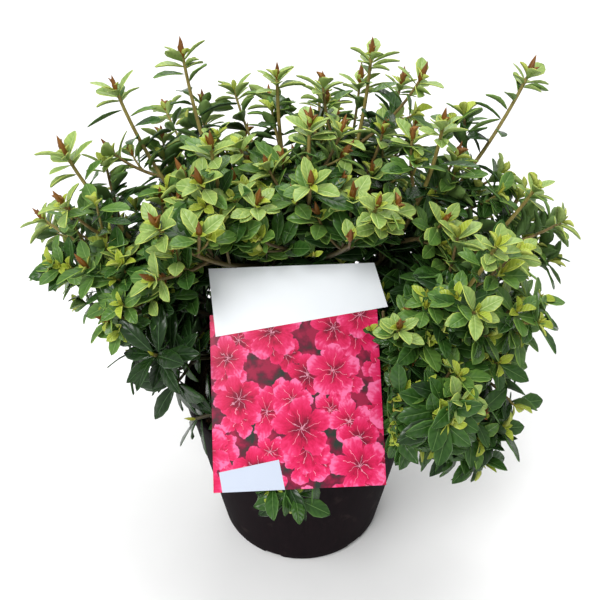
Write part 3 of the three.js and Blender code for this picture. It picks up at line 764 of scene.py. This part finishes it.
def shoot_fits(shoot, mass):
    return fits([shoot.at(share) for share in SHOOT_TESTS], mass, BERTH.shoot)


# Leaves, by age. Each entry is a root, a turn and a size.
sprays = {age: [] for age in LEAF_COLOURS}
buds = {"bronze": [], "green": []}

# Length in mm, and breadth as a share of the length.
LEAF_SIZES = {
    "bronze": (11, 0.2),
    "tender": (13.5, 0.45),
    "young": (19.5, 0.5),
    "mid": (22.5, 0.48),
    "mature": (27, 0.43),
    "old": (32, 0.39),
}

# Fold of the blade, droop of its tip, and the power that moves its widest place towards the tip.
LEAF_SHAPES = {
    "bronze": (0.6, 0.0, 1.1),
    "tender": (0.4, 0.0, 1.2),
    "young": (0.16, 0.03, 1.3),
    "mid": (0.11, 0.05, 1.36),
    "mature": (0.07, 0.09, 1.36),
    "old": (0.0, 0.15, 1.3),
}

# Where a leaf is tested for what it touches, in shares of its length and of its half breadth.
LEAF_TESTS = ((0.3, 0), (0.55, 1), (0.55, -1), (0.8, 0.6), (0.8, -0.6), (1, 0))


def add_leaf(mass, age, root, axis, side, opening, random, scale=1.0):
    """Sets a leaf that opens from its shoot's axis to one side.

    A leaf that would touch something is made smaller or left out.
    """
    heading = opened(axis, side, opening).normalized()
    face = axis * math.sin(math.radians(opening)) - side * math.cos(math.radians(opening))
    length, breadth = LEAF_SIZES[age]
    fold, droop, widest = LEAF_SHAPES[age]
    bend = mix(*LEAF_VARIETY.bends, random())
    length *= scale * mix(*LEAF_VARIETY.lengths, random())
    outward = Vector((root.x, root.y, 0)).normalized() * LEAF_FACE.outward
    face = face + UP * (LEAF_FACE.up + LEAF_FACE.righting * max(0.0, -face.z)) + outward
    face = (face - heading * heading.dot(face)).normalized()
    face = Quaternion(heading, math.radians(LEAF_ROLL) * (2 * random() - 1)) @ face
    across = heading.cross(face)
    for shrink in LEAF_FITTING:
        reach = length * shrink
        tests = []
        for share, aside in LEAF_TESTS:
            rise = LEAF_ARCH * math.sin(math.pi * share) - droop * share**2 + 0.5 * fold * breadth * aside**2
            on_plane = root + heading * (reach * share) + across * (reach * breadth / 2 * aside)
            tests.append(on_plane + face * (reach * bend * rise))
        if fits(tests, mass, BERTH.leaf):
            turn = Matrix((across, heading, face)).transposed().to_quaternion()
            width = reach * breadth * mix(*LEAF_VARIETY.breadths, random())
            sprays[age].append((root, turn, (width, reach, reach * bend)))
            return


def leaf_age(to_tip, vigour_and_painted_light, random):
    """A leaf's age by its distance from the shoot's tip, and by how much light the shoot has: older, darker
    leaves low and deep in the crown, partly as painted shade.
    """
    chance = mix(-AGEING.chance, AGEING.chance, random())
    score = to_tip / AGEING.length + AGEING.shade * (1 - vigour_and_painted_light) + chance
    return next((age for age, limit in AGE_LIMITS.items() if score < limit), "old")


def clothe(shoot, mass, random, vigour_and_painted_light, bare, growth):
    """Sets spiral leaves along a shoot or bough, further apart towards its bare foot."""
    to_tip, step, turns = LEAF_SPACING.first, LEAF_SPACING.first, 0
    while to_tip < shoot.length * (1 - bare):
        share = 1 - to_tip / shoot.length
        along = shoot.along(share)
        side = spoke(along, turns * GOLDEN_ANGLE + SPIRAL_LEAVES.turned * random())
        if side.z < LIMB_UNDERSIDE:
            side = -side
        opening = mix(*LEAF_OPENING, random())
        root = shoot.at(share) + side * shoot.radius(share) * SPIRAL_LEAVES.seat
        age = leaf_age(AGEING.under_whorl + to_tip, vigour_and_painted_light, random)
        size = mix(*SPIRAL_LEAVES.sizes, random())
        add_leaf(mass, age, root, along, side, opening, random, size)
        turns += 1
        step *= growth
        to_tip += step * mix(*LEAF_SPACING.jitter, random())


def dress(shoot, mass, seed, bare=BARE.shoot, whorl=WHORL.count, rank=1.0):
    """Puts a shoot's leaves on it: spiral leaves along it, the whorl, and the bud with its leaflets."""
    random = seeded(seed)
    tip, along = shoot.at(1), shoot.along(1)
    reached = (tip - HEART).length / mass.reach
    # How lit the shoot is: it darkens its leaves' tones low and deep in the crown as painted shade, and sets
    # its leaflets and bud.
    light = clamp((reached - LIGHT.start) / LIGHT.over) * rank
    thin = mass.name in THIN_MASSES
    vigour_and_painted_light = THIN_VIGOUR_AND_SHADE if thin else clamp((tip.z - HEART.z) / LIGHT.height) * light
    clothe(shoot, mass, random, vigour_and_painted_light, bare, LEAF_SPACING.growth)
    outer = leaf_age(0, vigour_and_painted_light, random)
    for i in range(whorl):
        opening = mix(WHORL.wide, WHORL.narrow, i / whorl) + WHORL.jitter * (random() - 0.5)
        side = spoke(along, i * GOLDEN_ANGLE + WHORL.turned * random())
        add_leaf(mass, outer, tip - along * ((whorl - i) * WHORL.gap), along, side, opening, random)
    height = clamp((tip.z - BRONZE.start) / BRONZE.over, BRONZE.least, BRONZE.most)
    bronze = random() < height * light**2 and mass.name not in GREEN_TIPPED
    leaflets = 3 if light > LEAFLET.light else 2
    for i in range(0 if thin else leaflets):
        side = spoke(along, i * 360 / leaflets + LEAFLET.turned * random())
        opening = mix(*LEAFLET.openings, random())
        size = mix(*LEAFLET.sizes, random()) * (LEAFLET.by_bronze if bronze else 1)
        add_leaf(mass, "tender", tip, along, side, opening, random, size)
    upright = (along + UP * BUD.rise).normalized()
    turn = upright.to_track_quat("Z", "Y") @ Quaternion(UP, FULL_TURN * random())
    length = mix(*BUD.lengths, random()) * (1 if bronze else BUD.green)
    if not all(clear_of_made_things(tip + upright * (length * share), BUD.berth) for share in (0, 0.5, 1)):
        return
    breadth = length * BUD.breadth
    buds["bronze" if bronze else "green"].append((tip, turn, (breadth, breadth, length)))
    if bronze:
        for i in range(1 + int(2 * random())):
            side = spoke(along, i * BRONZE.turn + BRONZE.turned * random())
            add_leaf(mass, "bronze", tip, upright, side, mix(*BRONZE.openings, random()), random)


boughs, masses = crown_plan()
stems, woody_twigs, green_twigs = [], [], []
for mass in masses:
    leader, name, seed = mass.leader, mass.name, mass.seed
    stems.append(leader)
    whorl = WHORL.on_leader if mass.lift > WHORL.from_lift else WHORL.count
    dress(leader, mass, seed + SEED.leader, bare=BARE.leader, whorl=whorl)
    if name in SECOND_LEADERS:
        azimuth, lift, reach = SECOND_LEADERS[name]
        end = HEART + direction(azimuth, lift) * reach
        stems.append(leader_to(leader.at(SECOND_FOOT), end, lift, SHOOT_RADII["side"]))
        dress(stems[-1], mass, seed + SEED.second, bare=BARE.leader, whorl=whorl)
    upright = mass.lift > EXTRA_SHOOTS.upright_from
    extra = EXTRA_SHOOTS.upright if upright else EXTRA_SHOOTS.spreading
    for i in range(THIN_MASSES.get(name, SIDE_SHOOTS.count + extra)):
        main = i < SIDE_SHOOTS.count
        shoot = side_shoot(mass, i) if main else extra_shoot(mass, i - SIDE_SHOOTS.count)
        if not shoot_fits(shoot, mass):
            continue
        (woody_twigs if main else green_twigs).append(shoot)
        rank = SHOOT_LIGHT.side if main else SHOOT_LIGHT.extra
        dress(shoot, mass, seed + SEED.side + i, rank=rank)
        if main and name not in THIN_MASSES:
            fine = list(twiglets(shoot, seed + SEED.twigs + i))
            for j, twig in enumerate(fine[:1] if upright else fine):
                if shoot_fits(twig, mass):
                    green_twigs.append(twig)
                    twig_seed = seed + SEED.on_twigs + 10 * i + j
                    dress(twig, mass, twig_seed, whorl=WHORL.on_twig, rank=SHOOT_LIGHT.fine)
for bough, tips in zip(boughs, BOUGHS.values()):
    mass = next(mass for mass in masses if mass.name in tips)
    for layer in SEED.bough_leaves:
        clothe(bough, mass, seeded(mass.seed + layer), BOUGH_VIGOUR_AND_SHADE, BARE.bough, growth=1.0)
    if mass.name not in THIN_MASSES:
        for i, shoot in enumerate(bough_shoots(bough, mass.seed + SEED.bough_shoots)):
            if shoot_fits(shoot, mass):
                woody_twigs.append(shoot)
                shoot_seed = mass.seed + SEED.on_bough_shoots + i
                dress(shoot, mass, shoot_seed, rank=SHOOT_LIGHT.bough)


# From plans to meshes.


def put_in(name, data):
    """An object of that data, in the scene."""
    made = bpy.data.objects.new(name, data)
    scene.collection.objects.link(made)
    return made


def plain_mesh(name, points, faces):
    """A smooth mesh whose faces all point out of it."""
    mesh = bpy.data.meshes.new(name)
    mesh.from_pydata(points, [], faces)
    mesh.shade_smooth()
    shaped = bmesh.new()
    shaped.from_mesh(mesh)
    bmesh.ops.recalc_face_normals(shaped, faces=shaped.faces[:])
    shaped.to_mesh(mesh)
    shaped.free()
    return mesh


def mesh_object(name, points, faces, *skins):
    """A piece from points in millimetres."""
    mesh = plain_mesh(name, [tuple(c * MM for c in p) for p in points], faces)
    for skin in skins:
        mesh.materials.append(skin)
    return put_in(name, mesh)


def skin_over(rings):
    """The points and faces of a closed form over its rings, where a ring may be a single point."""
    points, rows = [], []
    for ring in rings:
        rows.append(range(len(points), len(points) + len(ring)))
        points += ring
    faces = [tuple(row) for row in (rows[0], rows[-1]) if len(row) > 2]
    sides = max(len(row) for row in rows)
    for low, high in zip(rows, rows[1:]):
        for i in range(sides):
            j = (i + 1) % sides
            corners = (low[i % len(low)], low[j % len(low)], high[j % len(high)], high[i % len(high)])
            faces.append(tuple(dict.fromkeys(corners)))
    return points, faces


LEAF_STATIONS = (0.13, 0.34, 0.58, 0.8, 0.94)

# Across the blade: edge, margin, the midrib's two sides, margin and edge, with the lift of each.
LEAF_ROW = ((-1, 0), (-0.9, 0.022), (-1, -0.014), (1, -0.014), (0.9, 0.022), (1, 0))
LEAF_SECTION = Named(fullness=0.9, rib=0.032, taper=0.6, folded=1.5, underside=0.026, tip=0.01)
BLADE, MARGIN, MIDRIB, UNDERSIDE = range(4)


def leaf_mesh(name, fold, droop, widest):
    """One leaf of unit size: a stalk end, five rows across the blade and a tip, closed by its underside."""
    points = [(0, 0, 0)]
    across = [0.5]
    for station in LEAF_STATIONS:
        half = 0.5 * math.sin(math.pi * station**widest) ** LEAF_SECTION.fullness
        rise = LEAF_ARCH * math.sin(math.pi * station) - droop * station * station
        rib = LEAF_SECTION.rib * (1 - LEAF_SECTION.taper * station) / half
        for aside, lift in LEAF_ROW:
            aside *= rib if lift < 0 else 1
            folded = fold * half * abs(aside) ** LEAF_SECTION.folded
            points.append((aside * half, station, rise + lift + folded))
            across.append(0.5 + 0.5 * aside)
        points.append((0, station, rise - LEAF_SECTION.underside))
        across.append(0.5)
    points.append((0, 1, -droop + LEAF_SECTION.tip))
    across.append(0.5)
    last = len(points) - 1
    faces, parts = [], []
    strips = (MARGIN, BLADE, MIDRIB, BLADE, MARGIN)
    for i, strip in enumerate(strips):
        faces += [(0, 2 + i, 1 + i), (last, last - 7 + i, last - 6 + i)]
        parts += [strip, strip]
    for a in range(1, last - 7, 7):
        for i, strip in enumerate(strips):
            faces.append((a + i, a + i + 1, a + i + 8, a + i + 7))
            parts.append(strip)
        faces += [(a + 6, a, a + 7, a + 13), (a + 5, a + 6, a + 13, a + 12)]
        parts += [UNDERSIDE] * 2
    end = last - 7
    faces += [(0, 1, 7), (0, 7, 6), (last, end + 6, end), (last, end + 5, end + 6)]
    parts += [UNDERSIDE] * 4
    mesh = plain_mesh(name, points, faces)
    mesh.attributes.new("part", "INT", "FACE").data.foreach_set("value", parts)
    layer = mesh.uv_layers.new(name="UVMap")
    for loop in mesh.loops:
        layer.data[loop.index].uv = (across[loop.vertex_index], points[loop.vertex_index][1])
    return mesh


BUD_PROFILE = ((0, 0.16), (0.15, 0.42), (0.4, 0.5), (0.65, 0.36), (0.86, 0.16))
BUD_LEAFLETS = Named(count=3, fullness=0.22, twist=1.1, sides=9)


def bud_mesh(name):
    """A folded bud of unit length: three narrow leaflets wrapped round each other to a point."""
    rings = [[(0, 0, -0.04)]]
    for z, radius in BUD_PROFILE:
        rings.append([])
        for turn in np.linspace(0, 2 * math.pi, BUD_LEAFLETS.sides, endpoint=False):
            lobed = radius * (1 + BUD_LEAFLETS.fullness * math.cos(BUD_LEAFLETS.count * turn))
            twisted = turn + BUD_LEAFLETS.twist * z
            rings[-1].append((lobed * math.cos(twisted), lobed * math.sin(twisted), z))
    return plain_mesh(name, *skin_over(rings + [[(0.03, 0, 1)]]))


def crumb_mesh(name):
    """A peat crumb of unit size, a lump of twenty faces pushed out of true."""
    lump = bmesh.new()
    bmesh.ops.create_icosphere(lump, subdivisions=1, radius=0.5)
    for corner in lump.verts:
        corner.co *= 1 + 0.5 * noise.noise(corner.co * 3.1)
    mesh = bpy.data.meshes.new(name)
    lump.to_mesh(mesh)
    lump.free()
    mesh.shade_smooth()
    return mesh


def open_tree(name, inputs):
    tree = bpy.data.node_groups.new(name, "GeometryNodeTree")
    tree.interface.new_socket("Geometry", in_out="INPUT", socket_type="NodeSocketGeometry")
    for label, kind in inputs.items():
        tree.interface.new_socket(label, in_out="INPUT", socket_type=kind)
    tree.interface.new_socket("Geometry", in_out="OUTPUT", socket_type="NodeSocketGeometry")
    return tree, add(tree, "NodeGroupInput").outputs


PART_MATERIALS = ("Blade material", "Margin material", "Midrib material", "Underside material")


def spray_tree():
    """Sets one leaf or bud on every point by its turn and size, and gives each part its material."""
    inputs = {"Leaf": "NodeSocketObject", "Overall size": "NodeSocketFloat"}
    inputs |= {label: "NodeSocketMaterial" for label in PART_MATERIALS}
    tree, given = open_tree("leaves on their shoots", inputs)
    leaf = add(tree, "GeometryNodeObjectInfo", {"Object": given["Leaf"]}).outputs["Geometry"]
    turn = add(tree, "GeometryNodeInputNamedAttribute", {"Name": "turn"}, data_type="QUATERNION")
    size = add(tree, "GeometryNodeInputNamedAttribute", {"Name": "size"}, data_type="FLOAT_VECTOR")
    size = add(tree, "ShaderNodeVectorMath", {0: size, "Scale": given["Overall size"]}, operation="SCALE")
    placed = {"Points": given["Geometry"], "Instance": leaf, "Rotation": turn, "Scale": size}
    placed = add(tree, "GeometryNodeInstanceOnPoints", placed)
    made = add(tree, "GeometryNodeRealizeInstances", (placed,))
    part = add(tree, "GeometryNodeInputNamedAttribute", {"Name": "part"}, data_type="INT")
    for number, label in enumerate(PART_MATERIALS):
        chosen = add(tree, "FunctionNodeCompare", {2: part, 3: number}, data_type="INT", operation="EQUAL")
        chosen = {"Geometry": made, "Selection": chosen, "Material": given[label]}
        made = add(tree, "GeometryNodeSetMaterial", chosen)
    add(tree, "NodeGroupOutput", (made,))
    return tree


def limb_tree():
    """Gives lines their thickness: a round tube along each, as thick as the line says at each point."""
    inputs = {"Sides": "NodeSocketInt", "Bark": "NodeSocketMaterial"}
    tree, given = open_tree("twigs along their lines", inputs)
    lines = add(tree, "GeometryNodeMeshToCurve", (given["Geometry"],))
    radius = add(tree, "GeometryNodeInputNamedAttribute", {"Name": "thickness"}, data_type="FLOAT")
    ring = {"Resolution": given["Sides"], "Radius": 1.0}
    ring = add(tree, "GeometryNodeCurvePrimitiveCircle", ring, mode="RADIUS")
    tube = {"Curve": lines, "Profile Curve": ring, "Scale": radius, "Fill Caps": True}
    tube = add(tree, "GeometryNodeCurveToMesh", tube)
    smooth = add(tree, "GeometryNodeSetShadeSmooth", (tube,))
    made = add(tree, "GeometryNodeRealizeInstances", (smooth,))
    dressed = add(tree, "GeometryNodeSetMaterial", {"Geometry": made, "Material": given["Bark"]})
    add(tree, "NodeGroupOutput", (dressed,))
    return tree


def settled(piece, modifier):
    """The plain mesh that a modifier makes of its piece. The modifier is then gone."""
    evaluated = piece.evaluated_get(bpy.context.evaluated_depsgraph_get())
    mesh = bpy.data.meshes.new_from_object(evaluated)
    piece.modifiers.remove(modifier)
    return mesh


def grown(name, points, edges, attributes, tree, inputs):
    """The piece that a tree grows on points in millimetres, by what each point says of itself."""
    source = bpy.data.meshes.new(name + "_source")
    source.from_pydata([tuple(point * MM) for point in points], edges, [])
    for label, kind, field, values in attributes:
        values = np.array(values, dtype=float).ravel()
        source.attributes.new(label, kind, "POINT").data.foreach_set(field, values)
    carrier = put_in(name + "_source", source)
    modifier = carrier.modifiers.new("growth", "NODES")
    modifier.node_group = tree
    sockets = {item.name: item.identifier for item in tree.interface.items_tree if item.in_out == "INPUT"}
    for label, value in inputs.items():
        modifier[sockets[label]] = value
    mesh = settled(carrier, modifier)
    bpy.data.objects.remove(carrier)
    mesh.name = name
    for label in ("part", "turn", "size", "thickness"):
        if label in mesh.attributes:
            mesh.attributes.remove(mesh.attributes[label])
    return put_in(name, mesh)


SPRAYS, LIMBS = spray_tree(), limb_tree()


def sprayed(name, leaf, entries, skins):
    """All the leaves, buds or crumbs of one kind, joined."""
    inputs = {"Leaf": bpy.data.objects.new(leaf.name, leaf), "Overall size": 1.0}
    inputs |= dict(zip(PART_MATERIALS, skins))
    roots, turns, sizes = zip(*entries)
    sizes = [[side * MM for side in size] for size in sizes]
    attributes = (("turn", "QUATERNION", "value", turns), ("size", "FLOAT_VECTOR", "vector", sizes))
    return grown(name, roots, [], attributes, SPRAYS, inputs)


def limbs(name, shoots, skin, sides, steps):
    """All the stems or twigs of one kind, joined."""
    shares = [i / steps for i in range(steps + 1)]
    points = [shoot.at(share) for shoot in shoots for share in shares]
    thickness = [shoot.radius(share) * MM for shoot in shoots for share in shares]
    edges = [(i, i + 1) for i in range(len(points) - 1) if (i + 1) % (steps + 1)]
    attributes = (("thickness", "FLOAT", "value", thickness),)
    return grown(name, points, edges, attributes, LIMBS, {"Sides": sides, "Bark": skin})


plant_pieces = []
for age, entries in sprays.items():
    leaf = leaf_mesh(f"{age}_leaf", *LEAF_SHAPES[age])
    plant_pieces.append(sprayed(f"{age}_leaves", leaf, entries, leaf_skins[age]))
for kind, entries in buds.items():
    plant_pieces.append(sprayed(f"{kind}_buds", bud_mesh(f"{kind}_bud"), entries, [BUD_SKINS[kind]]))
plant_pieces.append(limbs("leader_stems", stems, GREEN_TWIG, sides=9, steps=14))
plant_pieces.append(limbs("side_twigs", woody_twigs, WOODY_TWIG, sides=7, steps=9))
plant_pieces.append(limbs("fine_twigs", green_twigs, GREEN_TWIG, sides=6, steps=7))


# Trunk and boughs, with the bark's relief in their own mesh.


def ridged_tube(centres, radius_at, sides, relief):
    """A closed tube whose skin is raised in long ridges."""
    rings = []
    for i, centre in enumerate(centres):
        ahead = centres[min(i + 1, len(centres) - 1)] - centres[max(i - 1, 0)]
        ahead.normalize()
        level = spoke(ahead, 0)
        along = Vector((0, 0, centre.z * 0.09))
        rings.append([])
        for j in range(sides):
            turn = 2 * math.pi * j / sides
            around = Vector((math.cos(turn), math.sin(turn), 0))
            ridges = noise.noise(around * 2.2 + along) + 0.5 * noise.noise(around * 6 + along * 3)
            side = Quaternion(ahead, turn) @ level
            rings[-1].append(centre + side * (radius_at(i, turn) + relief * ridges))
    return skin_over(rings)


TRUNK_RINGS, BOUGH_RINGS = 30, 22
TRUNK_END = {TRUNK_RINGS - 2: 0.9, TRUNK_RINGS - 1: 0.72}
trunk_centres = [trunk_axis(COMPOST.top + rise) for rise in np.linspace(0.3, TRUNK.height, TRUNK_RINGS)]


def trunk_ring(i, turn):
    return trunk_radius(trunk_centres[i].z, turn) * TRUNK_END.get(i, 1)


bark_points, bark_faces = ridged_tube(trunk_centres, trunk_ring, sides=40, relief=0.7)
for bough in boughs:
    shares = np.linspace(0, 1, BOUGH_RINGS)
    centres = [bough.at(share) for share in shares]
    points, faces = ridged_tube(centres, lambda i, turn: bough.radius(shares[i]), sides=14, relief=0.22)
    bark_faces += [tuple(len(bark_points) + i for i in face) for face in faces]
    bark_points += points
bark = mesh_object("trunk_and_boughs", bark_points, bark_faces, BARK)


# Pot, turned from its profile, with the drain notches cut through its foot.


def ring(radius, height, sides):
    """Points round the pot's axis, at a height that may follow the turn. A ring of no radius is a point."""
    points = []
    for i in range(sides if radius else 1):
        turn = 2 * math.pi * i / sides
        z = height(radius, turn) if callable(height) else height
        points.append((radius * math.cos(turn), radius * math.sin(turn), z))
    return points


def pot_wall_radius(z):
    return mix(POT.base, POT.rim - RIM_BAND.step, z / (POT.height - RIM_BAND.height))


def eased_block(name, place, easing):
    """A unit block put in its place with its edges rounded."""
    block = bmesh.new()
    bmesh.ops.create_cube(block, size=1)
    block.transform(Matrix.Scale(MM, 4) @ place)
    bmesh.ops.bevel(block, geom=block.edges[:], offset=easing * MM, segments=2, affect="EDGES")
    mesh = bpy.data.meshes.new(name)
    block.to_mesh(mesh)
    block.free()
    return put_in(name, mesh)


band = POT.height - RIM_BAND.height
pot_profile = [
    (0, 0),
    (POT.base - BASE_ROUNDING, 0),
    (POT.base - BASE_ROUNDING * 0.55, BASE_ROUNDING * 0.1),
    (POT.base - BASE_ROUNDING * 0.22, BASE_ROUNDING * 0.36),
    *((pot_wall_radius(z), z) for z in (BASE_ROUNDING, 12, 60, 110, band - 0.6, band)),
    (POT.rim - 1.2, band + 0.1),
    (POT.rim - 0.8, band + 0.6),
    (POT.rim, POT.height - 1.6),
    (POT.rim - 0.2, POT.height - 0.7),
    (POT.rim - 0.9, POT.height - 0.1),
    (POT.rim - 1.6, POT.height),
    (POT.rim - 2.6, POT.height - 0.1),
    (POT.rim - 3.2, POT.height - 0.7),
    (pot_wall_radius(band) - POT.wall, band - 2),
    (pot_wall_radius(POT.floor) - POT.wall, POT.floor),
    (0, POT.floor),
]
pot_points, pot_faces = skin_over([ring(radius, z, 120) for radius, z in pot_profile])
pot = mesh_object("nursery_pot", pot_points, pot_faces, POT_PLASTIC)
notch_size = Matrix.Diagonal((DRAIN.width, 2 * DRAIN.depth, 2 * DRAIN.height, 1))
for i in range(DRAIN.count):
    azimuth = math.radians(DRAIN.first + 360 / DRAIN.count * i)
    place = Matrix.Rotation(azimuth, 4, "Z") @ Matrix.Translation((0, -POT.base, 0)) @ notch_size
    notch = eased_block("notch", place, DRAIN.easing)
    cut = pot.modifiers.new("cut", "BOOLEAN")
    cut.operation = "DIFFERENCE"
    cut.solver = "MANIFOLD"
    cut.object = notch
    pot.data = settled(pot, cut)
    bpy.data.objects.remove(notch)
pot.data.set_sharp_from_angle(angle=math.radians(40))


# Compost: a crumbled top on the cake that fills the pot, and loose crumbs on it.


def compost_height(radius, turn):
    ground = COMPOST.top
    raised = clamp((radius - COMPOST.flat) / (COMPOST.full - COMPOST.flat))
    sunk = COMPOST.sinks * max(0, radius - COMPOST.sinks_from)
    place = Vector((radius * math.cos(turn), radius * math.sin(turn), 0)) * COMPOST_RELIEF.scale
    calm = clamp((radius - COMPOST_RELIEF.calm) / COMPOST_RELIEF.calm)
    relief = COMPOST_RELIEF.height * noise.fractal(place, 0.9, 2.1, 5) * calm
    return ground + COMPOST.crumb * raised - sunk + relief


COMPOST_RINGS, COMPOST_SIDES = 46, 150
brim = pot_wall_radius(COMPOST.top) - POT.wall - COMPOST_GAP.brim
compost_rings = [ring(0, COMPOST.top, COMPOST_SIDES)]
for i in range(COMPOST_RINGS):
    compost_rings.append(ring(brim * (i + 1) / COMPOST_RINGS, compost_height, COMPOST_SIDES))
compost_foot = POT.floor + COMPOST_GAP.floor
inset = POT.wall + COMPOST_GAP.wall
shoulder = COMPOST.top - COMPOST_GAP.side
compost_rings.append(ring(pot_wall_radius(shoulder) - inset, shoulder, COMPOST_SIDES))
compost_rings.append(ring(pot_wall_radius(POT.floor) - inset, compost_foot, COMPOST_SIDES))
compost_rings.append(ring(0, compost_foot, COMPOST_SIDES))
compost = mesh_object("compost_cake", *skin_over(compost_rings), PEAT)

crumbs = []
random = seeded(77)
while len(crumbs) < CRUMBS.count:
    radius, turn = CRUMBS.reach * math.sqrt(random()), 2 * math.pi * random()
    if radius < CRUMBS.off_trunk:
        continue
    size = mix(CRUMBS.least, CRUMBS.most, random() ** CRUMBS.rarity)
    height = compost_height(radius, turn) + CRUMBS.lift * size
    root = Vector((radius * math.cos(turn), radius * math.sin(turn), height))
    twist = Quaternion(Vector((random() - 0.5, random() - 0.5, random() - 0.5)), 6 * random())
    breadth, thickness = (size * mix(*shares, random()) for shares in (CRUMBS.breadths, CRUMBS.heights))
    crumbs.append((root, twist, (size, breadth, thickness)))
loose = sprayed("compost_crumbs", crumb_mesh("crumb"), crumbs, [PEAT_CRUMB])


# Label: a thin card with its picture panel, a blank header plate, a blank tab and the stake behind.


def plate(name, outline, low, high, front):
    """A flat plate in the card's frame with its front face in its own material and its place as UV."""
    count = len(outline)
    local = [Vector((x, y, z)) for z in (low, high) for x, y in outline]
    faces = [tuple(reversed(range(count))), tuple(range(count, 2 * count))]
    faces += [(i, (i + 1) % count, (i + 1) % count + count, i + count) for i in range(count)]
    piece = mesh_object(name, [CARD_FRAME @ p for p in local], faces, front, CARD_CORE)
    piece.data.shade_flat()
    for face in piece.data.polygons:
        face.material_index = 0 if face.index == 1 else 1
    layer = piece.data.uv_layers.new(name="UVMap")
    for loop in piece.data.loops:
        corner = local[loop.vertex_index]
        layer.data[loop.index].uv = ((corner.x + PRINT_START) * MM, corner.y * MM)
    return piece


back, front = -CARD.thickness / 2, CARD.thickness / 2
panel = front - CARD_STEPS.picture
picture_outline = [
    (-CARD_HALF, 0), (CARD_HALF, 0), (CARD_HALF + 0.3, PICTURE_TOP), (-CARD_HALF + 0.2, PICTURE_TOP)
]
header_outline = [
    HEADER.foot,
    (CARD_HALF + HEADER.overhang, CARD.height - HEADER.right_drop),
    (CARD_HALF, CARD.height),
    (-CARD_HALF, CARD.height - 0.6),
]
label_pieces = [
    plate("label_picture", picture_outline, back, panel, BLOSSOM_PRINT),
    plate("label_header", header_outline, panel - CARD_STEPS.seat, front, CARD_WHITE),
    plate("label_tab", TAB_OUTLINE, panel - CARD_STEPS.seat, panel + CARD_STEPS.tab, CARD_TAB),
]
behind_card = CARD_FOOT.z + STAKE.up * math.cos(math.radians(CARD.lean))
top = behind_card - STAKE.thickness / 2 - STAKE.sunk
stake_size = Matrix.Diagonal((STAKE.width, STAKE.thickness, top - STAKE.bottom, 1))
stake_place = Matrix.Translation((STAKE.x, STAKE_DEPTH, (top + STAKE.bottom) / 2))
label_pieces.append(eased_block("label_stake", stake_place @ stake_size, STAKE.easing))
label_pieces[-1].data.materials.append(CARD_CORE)


# Floor and light, and the made pieces put in place of the solids that they replace.
FLOOR = 6000
floor_corners = [(-FLOOR, -FLOOR, 0), (FLOOR, -FLOOR, 0), (FLOOR, FLOOR, 0), (-FLOOR, FLOOR, 0)]
floor = mesh_object("studio_floor", floor_corners, [(0, 1, 2, 3)], PAPER)
floor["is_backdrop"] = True

world = bpy.data.worlds.new("studio")
world.use_nodes = True
world.node_tree.nodes["Background"].inputs["Color"].default_value = (1, 1, 1, 1)
world.node_tree.nodes["Background"].inputs["Strength"].default_value = 0.62
scene.world = world


def softbox(name, place, aim, size, power):
    light = bpy.data.lights.new(name, "AREA")
    light.shape = "SQUARE"
    light.size = size
    light.energy = power
    lamp = put_in(name, light)
    lamp.location = place
    lamp.rotation_mode = "QUATERNION"
    lamp.rotation_quaternion = (Vector(aim) - Vector(place)).to_track_quat("-Z", "Y")


softbox("key_softbox", (-0.55, -1.0, 1.5), (0, 0, 0.22), 0.7, 20)
softbox("overhead_softbox", (0.2, 0.2, 1.8), (0, 0, 0.25), 0.8, 9)
softbox("paper_softbox", (0, 2.6, 2.4), (0, 2.4, 0), 2.4, 60)

for piece in plant_pieces:
    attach(piece, "root")
    "foliage" if "leaves" in piece.name or "buds" in piece.name else "bark"
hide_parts(*[mass.name + "_foliage" for mass in masses])
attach(bark, "root")
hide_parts("trunk", *[name + "_bough" for name in BOUGHS])
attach(pot, "root")
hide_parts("pot")
for piece in (compost, loose):
    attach(piece, "root")
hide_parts("compost")
for piece in label_pieces:
    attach(piece, "root")
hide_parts("plant_label")

made_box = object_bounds()
sizes = {name: [list(corner) for corner in box] for name, box in (("cad", cad_box), ("made", made_box))}
